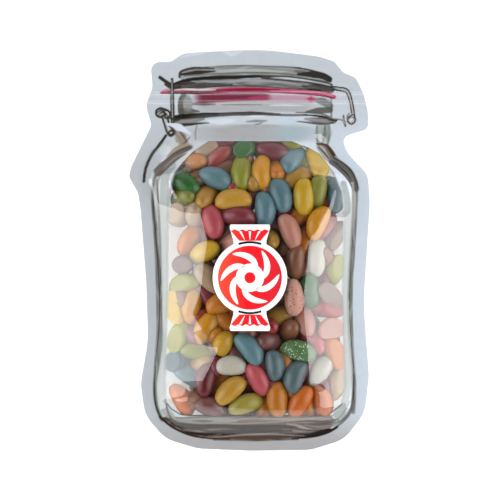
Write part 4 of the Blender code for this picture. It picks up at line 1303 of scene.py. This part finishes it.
@dataclass
class BeanFill:
    """The jelly beans: those seen through the window in their places, and loose ones under them, all settled."""

    pillow: Pillow
    spots: tuple[Spot, ...] = SPOTS
    loose: int = 120
    filled: int = 66
    seed: int = 11
    length: float = 17.4
    radius: float = 5.1
    flatness: float = 0.92
    ball: float = 4.7
    film_room: float = 5.0
    turns: int = 240
    last_turns: int = 24
    filling_rounds: int = 3
    least_gap: float = 6.0
    most_squeeze: float = 4.0
    sunk_from: float = 12.0  # where the films are further apart than this, loose beans keep that much lower
    sunk_most: float = 5.0
    beyond: float = 60.0  # past this in x there is no pouch
    most_lean: float = 1.25  # how much more room a bean may need where the front film slants
    balls: tuple[float, ...] = (-4.0, -1.35, 1.35, 4.0)
    settling: Settling = Settling()
    raster: tuple[Point, Point] = ((-41.0, 46.0), (-77.5, 51.0))
    raster_step: float = 1.5
    loose_x: Point = (-34.0, 38.0)
    loose_y: Point = (-78.0, 46.0)
    loose_height: Point = (5.0, 7.0)
    film_gap: Point = (0.2, 0.25)
    rows: int = 16
    columns: int = 24
    # Dark flavours for the loose beans under the seen ones: painted shade deep in the fill.
    beneath: tuple[Flavour, ...] = (Flavour.BROWN, Flavour.OCHRE, Flavour.CRIMSON, Flavour.MAUVE, Flavour.BROWN,
                                    Flavour.MAROON, Flavour.ORANGE, Flavour.OLIVE, Flavour.BROWN, Flavour.RED)

    def __post_init__(self) -> None:
        """Reads the films into height maps, with their slopes."""
        self.random = np.random.default_rng(self.seed)
        ends = np.arange(HeightMap.low, 1.0 - HeightMap.low)
        x, y = np.meshgrid(ends, ends)
        front, back = (f(x.ravel(), y.ravel()).reshape(x.shape) for f in (self.pillow.front, self.pillow.back))
        gap = np.where(np.abs(x) > self.beyond, 0.0, front - back)
        self.front, self.back, self.gap = HeightMap(front), HeightMap(back), HeightMap(gap)
        down, across = np.gradient(front)
        self.lean = HeightMap(np.clip(np.sqrt(1.0 + down**2 + across**2), 1.0, self.most_lean))
        down, across = np.gradient(gap)
        size = np.hypot(down, across) + 1e-6
        self.in_x, self.in_y = HeightMap(across / size), HeightMap(down / size)

    def settle(self) -> tuple[Array, Array]:
        """Places the beans that are seen, lays loose ones beneath, lets all settle, and fills the widest gaps.

        Returns:
            The beans' centres, and the directions of their long axes.
        """
        seen = len(self.spots)
        want = np.array([(s.x, s.y, math.radians(s.turn), s.depth, s.size) for s in self.spots])
        place = np.zeros((seen + self.loose, 3))
        axis = np.zeros_like(place)
        place[:seen, :2] = want[:, :2]
        place[:seen, 2] = self.front.at(want[:, 0], want[:, 1]) - self.film_room - want[:, 3]
        heading = np.stack((np.cos(want[:, 2]), np.sin(want[:, 2])), axis=1)
        axis[:seen, :2] = heading
        place[seen:, 0] = self.random.uniform(*self.loose_x, self.loose)
        place[seen:, 1] = np.linspace(*self.loose_y, self.loose)
        place[seen:, 2] = self.back.at(*place[seen:, :2].T) + self.random.uniform(*self.loose_height, self.loose)
        axis[seen:] = self.random.normal(size=(self.loose, 3)) * (1.0, 1.0, 0.3)
        axis /= np.linalg.norm(axis, axis=1)[:, None]
        place, axis = self._packed(place, axis, want, heading, self.turns)
        for _ in range(self.filling_rounds):
            fresh = self._gaps(place, axis, self.filled // self.filling_rounds)
            ways = self.random.normal(size=fresh.shape) * (1.0, 1.0, 0.1)
            place = np.concatenate((place, fresh))
            axis = np.concatenate((axis, ways / np.linalg.norm(ways, axis=1)[:, None]))
            place, axis = self._packed(place, axis, want, heading, self.last_turns)
        return self._kept_inside(place, axis, seen)

    def _packed(self, place: Array, axis: Array, want: Array, heading: Array, turns: int) -> tuple[Array, Array]:
        """Settles the beans: each is four balls in a row; overlapping balls part, and the films press them in.

        Args:
            place: the beans' centres.
            axis: the directions of their long axes.
            want: the wanted places of the beans that are seen, which come first.
            heading: their directions in plan.
            turns: how many rounds of pushing.

        Returns:
            Centres and directions after the last round.
        """
        seen, share = len(want), self.settling
        offsets = np.array(self.balls)
        owner = np.repeat(np.arange(len(place)), len(offsets))
        other, loose = owner[:, None] != owner[None, :], owner >= seen
        for _ in range(turns):
            balls = (place[:, None] + axis[:, None] * offsets[None, :, None]).reshape(-1, 3)
            x, y, z = balls.T
            apart = balls[:, None] - balls[None]
            gap = np.maximum(np.sqrt((apart**2).sum(axis=2)), 1e-6)
            overlap = np.where(other, np.clip(2.0 * self.ball - gap, 0.0, None), 0.0)
            push = (apart * (share.part * overlap / gap)[..., None]).sum(axis=1)
            room, need = self.gap.at(x, y), self.film_room * self.lean.at(x, y)
            sunk = np.where(loose, np.clip(room - self.sunk_from, 0.0, self.sunk_most), 0.0)
            above = z - (self.front.at(x, y) - need - sunk)
            below = self.back.at(x, y) + need - z
            push[:, 2] += share.lift * np.clip(below, 0.0, None) - share.press * np.clip(above, 0.0, None)
            short = np.clip(2.0 * self.film_room - room, 0.0, self.most_squeeze)
            push[:, 0] += share.inwards * short * self.in_x.at(x, y)
            push[:, 1] += share.inwards * short * self.in_y.at(x, y)
            push = push.reshape(-1, len(offsets), 3)
            place += push.mean(axis=1) * share.move
            axis += (push * offsets[None, :, None]).sum(axis=1) / (offsets**2).sum() * share.swing
            plan = np.hypot(axis[:seen, 0], axis[:seen, 1])[:, None]
            axis[:seen, :2] += share.heading * (plan * heading - axis[:seen, :2])
            axis /= np.linalg.norm(axis, axis=1)[:, None]
            place[:seen, :2] += share.spot * (want[:, :2] - place[:seen, :2])
            top = self.front.at(*place[:seen, :2].T) - self.film_room - want[:, 3]
            place[:seen, 2] += share.depth * (top - place[:seen, 2])
        return place, axis

    def _gaps(self, place: Array, axis: Array, count: int) -> Array:
        """Finds the widest gaps in plan, one after another: each is the place farthest from every bean's axis.

        Args:
            place: the beans' centres.
            axis: the directions of their long axes.
            count: how many gaps to find.

        Returns:
            The gaps' places, low between the films.
        """
        x, y = np.meshgrid(*(np.arange(*ends, self.raster_step) for ends in self.raster))
        spots = np.stack((x.ravel(), y.ravel()), axis=1)
        spots = spots[self.gap.at(*spots.T) > self.least_gap]
        half_length, half_width = 4.6, 2.0
        plan = np.maximum(np.hypot(axis[:, 0], axis[:, 1]), 1e-6)
        way = axis[:, :2] / plan[:, None]
        apart = spots[:, None] - place[None, :, :2]
        along = np.clip((apart * way).sum(axis=2), -half_length * plan, half_length * plan)
        far = np.hypot(*np.moveaxis(apart - along[..., None] * way, 2, 0)).min(axis=1)
        found = []
        for _ in range(count):
            found.append(spots[far.argmax()])
            far = np.minimum(far, np.maximum(np.hypot(*(spots - found[-1]).T) - half_width, 0.0))
        found = np.array(found)
        return np.column_stack((found, self.back.at(*found.T) + self.film_room))

    def _kept_inside(self, place: Array, axis: Array, seen: int) -> tuple[Array, Array]:
        """Lowers or lifts each bean clear of the films, and leaves out loose ones that have no room.

        Args:
            place: the beans' centres.
            axis: the directions of their long axes.
            seen: how many beans, the first ones, are always kept.

        Returns:
            Centres and directions.
        """
        reach = np.array((-6.5, -4.0, 0.0, 4.0, 6.5))
        need = np.array((0.7, 0.95, 1.0, 0.95, 0.7)) * self.film_room
        x, y, z = np.moveaxis(place[:, None] + axis[:, None] * reach[None, :, None], 2, 0)
        need = need * self.lean.at(x, y)
        high = (self.front.at(x, y) - need - z).min(axis=1)
        low = (self.back.at(x, y) + need - z).max(axis=1)
        place[:, 2] += np.where(high < 0.0, high, np.where(low > 0.0, np.minimum(low, np.maximum(high, 0.0)), 0.0))
        self.kept = (np.arange(len(place)) < seen) | (high - low > -self.most_squeeze)
        LOG.info("beans kept: %d, tightest room %.1f mm", self.kept.sum(), (high - low).min())
        return place, axis

    def bean(self, place: Array, axis: Array, size: float) -> Array:
        """Shapes one bean about its axis: a stadium-like oval, bent a little like a kidney, with low lumps.

        Args:
            place: its centre.
            axis: the direction of its length.
            size: its length compared with the usual.

        Returns:
            Its vertices: a pole, the rings and the other pole.
        """
        across = np.cross((0.0, 0.0, 1.0), axis)
        across /= np.linalg.norm(across)
        up = np.cross(axis, across)
        roll = self.random.uniform(-0.9, 0.9)
        side = across * math.cos(roll) + up * math.sin(roll)
        thick = np.cross(axis, side)
        t = math.pi * np.arange(1, self.rows) / self.rows
        phi = 2.0 * math.pi * np.arange(self.columns) / self.columns
        t, phi = np.meshgrid(t, phi, indexing="ij")
        a, b, c = self.random.uniform(0.0, 2.0 * math.pi, 3)
        lumps = 1.0 + 0.022 * np.cos(2 * phi + a) * np.cos(t + b) + 0.018 * np.cos(3 * t + c) * np.cos(phi + b)
        girth = self.radius * self.random.uniform(0.95, 1.03)
        radius = girth * np.sin(t) ** 0.85 * lumps * (1.0 + self.random.uniform(-0.06, 0.06) * np.cos(t))
        end = 0.5 * self.length * size
        along = end * np.cos(t)
        bend = self.random.uniform(0.2, 0.9) * (1.0 - 2.0 * np.cos(t) ** 2)
        rings = (along[..., None] * axis + (radius * np.cos(phi) + bend)[..., None] * side
                 + (self.flatness * radius * np.sin(phi))[..., None] * thick)
        tip = -0.5 * float(bend[0, 0]) * side
        return place + np.concatenate(([end * axis + tip], rings.reshape(-1, 3), [tip - end * axis]))

    def fitted(self, points: Array) -> Array:
        """Moves a bean clear of both films, and squeezes it where they are too close for its thickness.

        Args:
            points: its vertices, which it changes.

        Returns:
            The same vertices.
        """
        low, high = self.back.at(*points[:, :2].T), self.front.at(*points[:, :2].T)
        low, high = low + self.film_gap[0], high - self.film_gap[1]
        points[:, 2] -= max(0.0, float((points[:, 2] - high).max()))
        points[:, 2] += max(0.0, float((low - points[:, 2]).max()))
        points[:, 2] = np.clip(points[:, 2], np.minimum(low, high), high)
        return points

    def bean_faces(self, start: int) -> list[Array]:
        """Joins one bean's rings with quads and its poles with triangles.

        Args:
            start: the bean's first vertex number.

        Returns:
            Its quads and triangles.
        """
        r, n = self.rows - 1, self.columns
        k = np.arange(n)
        ahead = (k + 1) % n
        ring = start + 1 + np.arange(r - 1)[:, None] * n
        quads = np.stack((ring + k, ring + n + k, ring + n + ahead, ring + ahead), axis=2).reshape(-1, 4)
        last = start + 1 + (r - 1) * n
        first = np.stack((np.full(n, start), start + 1 + k, start + 1 + ahead), axis=1)
        final = np.stack((last + k, np.full(n, last + n), last + ahead), axis=1)
        return [quads, first, final]

    def build(self) -> None:
        """Builds the beans, all of one flavour as one piece."""
        place, axis = self.settle()
        under = len(place) - len(self.spots)
        flavours = [s.flavour for s in self.spots]
        flavours += [self.beneath[k] for k in self.random.integers(0, len(self.beneath), under)]
        sizes = [s.size for s in self.spots] + [1.0] * under
        for flavour in Flavour:
            chosen = [k for k, kind in enumerate(flavours) if kind is flavour and self.kept[k]]
            if not chosen:
                continue
            shapes = [self.fitted(self.bean(place[k], axis[k], sizes[k])) for k in chosen]
            count = len(shapes[0])
            faces = [group for k in range(len(shapes)) for group in self.bean_faces(k * count)]
            name, *colours = flavour.value
            piece = new_piece("beans_" + name.replace(" ", "_"), np.concatenate(shapes), faces,
                              SugarShell(name, *colours).make())
            tint = np.repeat(self.random.uniform(0.93, 1.07, len(shapes)), count)
            piece.data.attributes.new("tint", "FLOAT", "POINT").data.foreach_set("value", tint.astype(np.float32))


# ---- label


@dataclass
class Label:
    """The sticker on the front: a round wrapped sweet, white edged, with a fan of wrapper above and below."""

    pillow: Pillow
    centre: Point = (0.2, -13.0)
    round_radius: float = 17.5
    half_height: float = 25.0
    fan_angle: float = math.radians(25.0)
    fan_blend: float = math.radians(4.0)
    lift: float = 0.1
    thickness: float = 0.3
    margin: float = 2.3
    layer_height: float = 0.035
    round_red: float = 15.0
    middle_white: float = 6.6
    middle_red: float = 2.6
    arms: int = 6
    arm_ends: Point = (5.6, 13.9)
    arm_sweep: float = 1.15
    arm_half: float = 0.26
    neck: float = 17.3
    neck_half: float = 5.0
    fan_spread: float = 4.0
    scallop: float = 0.35
    pleats: tuple[float, ...] = (-0.55, 0.0, 0.55)
    tie_radius: float = 15.9
    tie_half_angle: float = 0.33
    paper: StickerPrint = StickerPrint("white", "F3F3F3", "F5F5F4", "F3F3F3")
    red: StickerPrint = StickerPrint("red", "EE4A36", "E8171F", "C8202E")
    black: StickerPrint = StickerPrint("black", "1B1A1C", "17161A", "141416")

    def reach(self, angle: Array) -> Array:
        """Gives the label's reach at an angle: a circle, with a flat-ended fan above and below.

        Args:
            angle: the direction from the label's centre.

        Returns:
            The reach in mm.
        """
        off = np.abs(np.mod(angle, math.pi) - 0.5 * math.pi)
        blend = step_up((self.fan_angle - off) / self.fan_blend)
        fan = self.half_height / np.cos(np.minimum(off, self.fan_angle))
        return self.round_radius + (fan - self.round_radius) * blend

    def top(self, x: Array, y: Array) -> Array:
        """Gives the height of the sticker's face."""
        return self.pillow.front(x, y) + self.lift + self.thickness

    def sticker(self) -> bpy.types.Object:
        """Builds the sticker: rings scaled from its outline, once for its face and once for its back, closed.

        Returns:
            The sticker.
        """
        sectors, rings = 180, 14
        angle = 2.0 * math.pi * np.arange(sectors) / sectors
        share = np.append(np.linspace(1.0 / rings, 1.0, rings), 1.0)
        x, y = (middle + np.append(0.0, share[:, None] * (self.reach(angle) * turn)[None])
                for middle, turn in zip(self.centre, (np.cos(angle), np.sin(angle))))
        face = self.top(x, y)
        rim = len(x) - sectors
        face[rim:] -= 0.5 * self.thickness
        back = self.top(x[:rim], y[:rim]) - self.thickness
        points = np.stack((np.append(x, x[:rim]), np.append(y, y[:rim]), np.append(face, back)), axis=1)
        k = np.arange(sectors)
        ahead = (k + 1) % sectors

        def band(first: Array, second: Array) -> Array:
            """Joins two rings with quads."""
            return np.stack((first + k, second + k, second + ahead, first + ahead), axis=1)

        count = len(x)
        upper = 1 + sectors * np.arange(rings + 1)
        lower = count + upper[:-1]
        faces = [np.stack((np.zeros(sectors, int), 1 + k, 1 + ahead), axis=1),
                 np.stack((np.full(sectors, count), count + 1 + ahead, count + 1 + k), axis=1)]
        faces += [band(*pair) for pair in zip(upper[:-1], upper[1:])]
        faces += [band(*pair)[:, ::-1] for pair in zip(lower[:-1], lower[1:])]
        faces.append(band(upper[-1], lower[-1]))
        piece = new_piece("label_sticker", points, faces, self.paper.make())
        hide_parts("label")
        return piece

    def printed(self, name: str, grids: list[tuple[Array, Array]], layer: int, finish: StickerPrint) -> None:
        """Lays flat colour on the sticker.

        Args:
            name: the piece's name.
            grids: pairs of x and y grids about the label's centre, their rows and columns turning anticlockwise.
            layer: how many layers up it lies.
            finish: its material.
        """
        faces, spots, start = [], [], 0
        for x, y in grids:
            turn = (x[0, 1] - x[0, 0]) * (y[1, 0] - y[0, 0]) - (y[0, 1] - y[0, 0]) * (x[1, 0] - x[0, 0])
            faces.append(grid_faces(*x.shape, start, flip=bool(turn < 0.0)))
            spots.append(np.stack((x.ravel() + self.centre[0], y.ravel() + self.centre[1]), axis=1))
            start += x.size
        plan = np.concatenate(spots)
        height = self.top(*plan.T) + self.layer_height * layer
        new_piece(name, np.column_stack((plan, height)), faces, finish.make())

    def disc(self, radius: float) -> tuple[Array, Array]:
        """Gives a disc as radius times cosine and sine of the angle."""
        r, a = np.meshgrid(np.linspace(0.001, radius, 18), np.linspace(0.0, 2.0 * math.pi, 161), indexing="ij")
        return r * np.cos(a), r * np.sin(a)

    def patch(self, rows: int, columns: int) -> tuple[Array, Array]:
        """Gives a patch's two parameters: v from 0 to 1 along it, and u from -1 to 1 across it."""
        return tuple(np.meshgrid(np.linspace(0.0, 1.0, rows), np.linspace(-1.0, 1.0, columns), indexing="ij"))

    def arm(self, turn: float) -> tuple[Array, Array]:
        """Gives a swirl's arm: its angle turns with the radius, and it is widest in the middle of its length.

        Args:
            turn: the angle at which it starts.

        Returns:
            Its grid about the centre.
        """
        v, u = self.patch(40, 12)
        inner, outer = self.arm_ends
        radius = inner + (outer - inner) * v
        half = self.arm_half * np.sin(math.pi * (0.18 + 0.82 * v)) ** 0.7
        angle = turn + self.arm_sweep * v + half * u
        return radius * np.cos(angle), radius * np.sin(angle)

    def fan(self, flip: float) -> tuple[Array, Array]:
        """Gives a fan of wrapper: widening rows from the neck to the flat end, whose edge has small scallops.

        Args:
            flip: 1 above, -1 below.

        Returns:
            Its grid about the centre.
        """
        v, u = self.patch(14, 61)
        end = self.half_height - self.margin - self.scallop * (1.0 - np.cos(5.0 * math.pi * u))
        return (self.neck_half + self.fan_spread * v) * u, flip * (self.neck + (end - self.neck) * v)

    def pleat(self, flip: float, lean: float) -> tuple[Array, Array]:
        """Gives a pleat of the fan: a thin wedge that opens from the neck."""
        v, u = self.patch(12, 4)
        return lean * (4.6 + 3.6 * v) + (0.12 + 0.42 * v) * u, flip * (17.9 + 3.9 * v)

    def tie(self, flip: float) -> tuple[Array, Array]:
        """Gives the dark tie at a neck: a bar that follows the round of the sweet.

        Args:
            flip: 1 above, -1 below.

        Returns:
            Its grid about the centre.
        """
        v, u = self.patch(4, 24)
        angle, radius = self.tie_half_angle * u, self.tie_radius + v
        return radius * np.sin(angle), flip * (radius * np.cos(angle) + 0.25)

    def build(self) -> None:
        """Builds the sticker and its print: red, then white, then black."""
        self.sticker()
        ends = (1.0, -1.0)  # the fan above, and the same turned over below
        self.printed("label_red", [self.disc(self.round_red), *map(self.fan, ends)], 1, self.red)
        arms = [self.arm(2.0 * math.pi * k / self.arms) for k in range(self.arms)]
        pleats = [self.pleat(flip, lean) for flip in ends for lean in self.pleats]
        self.printed("label_white", [self.disc(self.middle_white), *arms, *pleats], 2, self.paper)
        self.printed("label_red_heart", [self.disc(self.middle_red)], 3, self.red)
        self.printed("label_black", list(map(self.tie, ends)), 3, self.black)


# ---- studio


@dataclass
class Studio:
    """A white paper floor, two long softboxes beside the pouch, soft light all round, and the camera above."""

    width_mm: float = 238.1
    lens_mm: float = 150.0
    sensor_mm: float = 36.0
    focus_level_mm: float = 8.4
    shift_mm: Point = (0.24, 0.0)
    box_radiance: float = 3.0
    box_height: float = 1.1
    box_ends: Point = (-0.45, 0.24)
    box_out: float = 0.6
    ambient: float = 1.3
    overhead: float = 0.08
    overhead_rise: Point = (0.45, 0.97)  # the height of a direction, over which the soft light dims
    sky: tuple[float, ...] = (0.97, 0.985, 1.0, 1.0)
    floor_half: float = 3000.0
    floor_level: float = -0.05

    def floor(self) -> None:
        """Lays the paper: a large grid just under the pouch."""
        ends = np.linspace(-self.floor_half, self.floor_half, 41)
        x, y = np.meshgrid(ends, ends)
        mesh = bpy.data.meshes.new("studio_floor")
        points = np.stack((x.ravel(), y.ravel(), np.full(x.size, self.floor_level)), axis=1) * MM
        mesh.from_pydata(points.tolist(), [], grid_faces(*x.shape).tolist())
        mesh.materials.append(SweepPaper().make())
        made = bpy.data.objects.new("studio_floor", mesh)
        bpy.context.scene.collection.objects.link(made)

    def softbox(self, name: str, side: float) -> None:
        """Hangs a softbox in metres, facing the pouch; its power is its radiance times area times pi.

        Args:
            name: the lamp's name.
            side: -1 to the left, 1 to the right.
        """
        foot, head = self.box_ends
        lamp = bpy.data.lights.new(name, "AREA")
        lamp.shape = "RECTANGLE"
        lamp.size, lamp.size_y = self.box_height, head - foot
        lamp.energy = self.box_radiance * lamp.size * lamp.size_y * math.pi
        made = bpy.data.objects.new(name, lamp)
        made.location = (side * self.box_out, 0.5 * (foot + head), self.box_out)
        made.rotation_euler = (0.0, math.pi / 2.0, 0.0 if side > 0.0 else math.pi)
        made.visible_camera = False
        bpy.context.scene.collection.objects.link(made)

    def build(self) -> None:
        """Builds floor, lights, surroundings and camera."""
        self.floor()
        self.softbox("softbox_left", -1.0)
        self.softbox("softbox_right", 1.0)
        scene = bpy.context.scene
        scene.world = bpy.data.worlds.new("soft surroundings")
        scene.world.use_nodes = True
        tree = scene.world.node_tree
        sky = tree.nodes["Background"]
        way = add_node(tree, "TexCoord").outputs["Generated"]
        rise = add_node(tree, "SeparateXYZ", Vector=way)
        dim = add_node(tree, "MapRange", {"interpolation_type": "SMOOTHSTEP"}, Value=rise.outputs["Z"],
                       From_Min=self.overhead_rise[0], From_Max=self.overhead_rise[1],
                       To_Min=self.ambient, To_Max=self.overhead)
        tree.links.new(dim.outputs[0], sky.inputs["Strength"])
        sky.inputs["Color"].default_value = self.sky
        lens = bpy.data.cameras.new("camera")
        lens.lens, lens.sensor_width = self.lens_mm, self.sensor_mm
        lens.clip_start, lens.clip_end = 0.01, 20.0
        camera = bpy.data.objects.new("camera", lens)
        height = self.focus_level_mm + self.width_mm * self.lens_mm / self.sensor_mm
        camera.location = (self.shift_mm[0] * MM, self.shift_mm[1] * MM, height * MM)
        scene.collection.objects.link(camera)
        scene.camera = camera
        scene.view_settings.view_transform = "Standard"


def main() -> None:
    """Builds the pouch, its contents and the studio."""
    logging.basicConfig(level=logging.INFO, format="%(message)s")
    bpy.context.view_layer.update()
    pillow = Pillow(DieCut())
    FilmShell(pillow).build()
    JarPrint(pillow).build()
    BeanFill(pillow).build()
    Label(pillow).build()
    Studio().build()


if __name__ == "__main__":
    main()
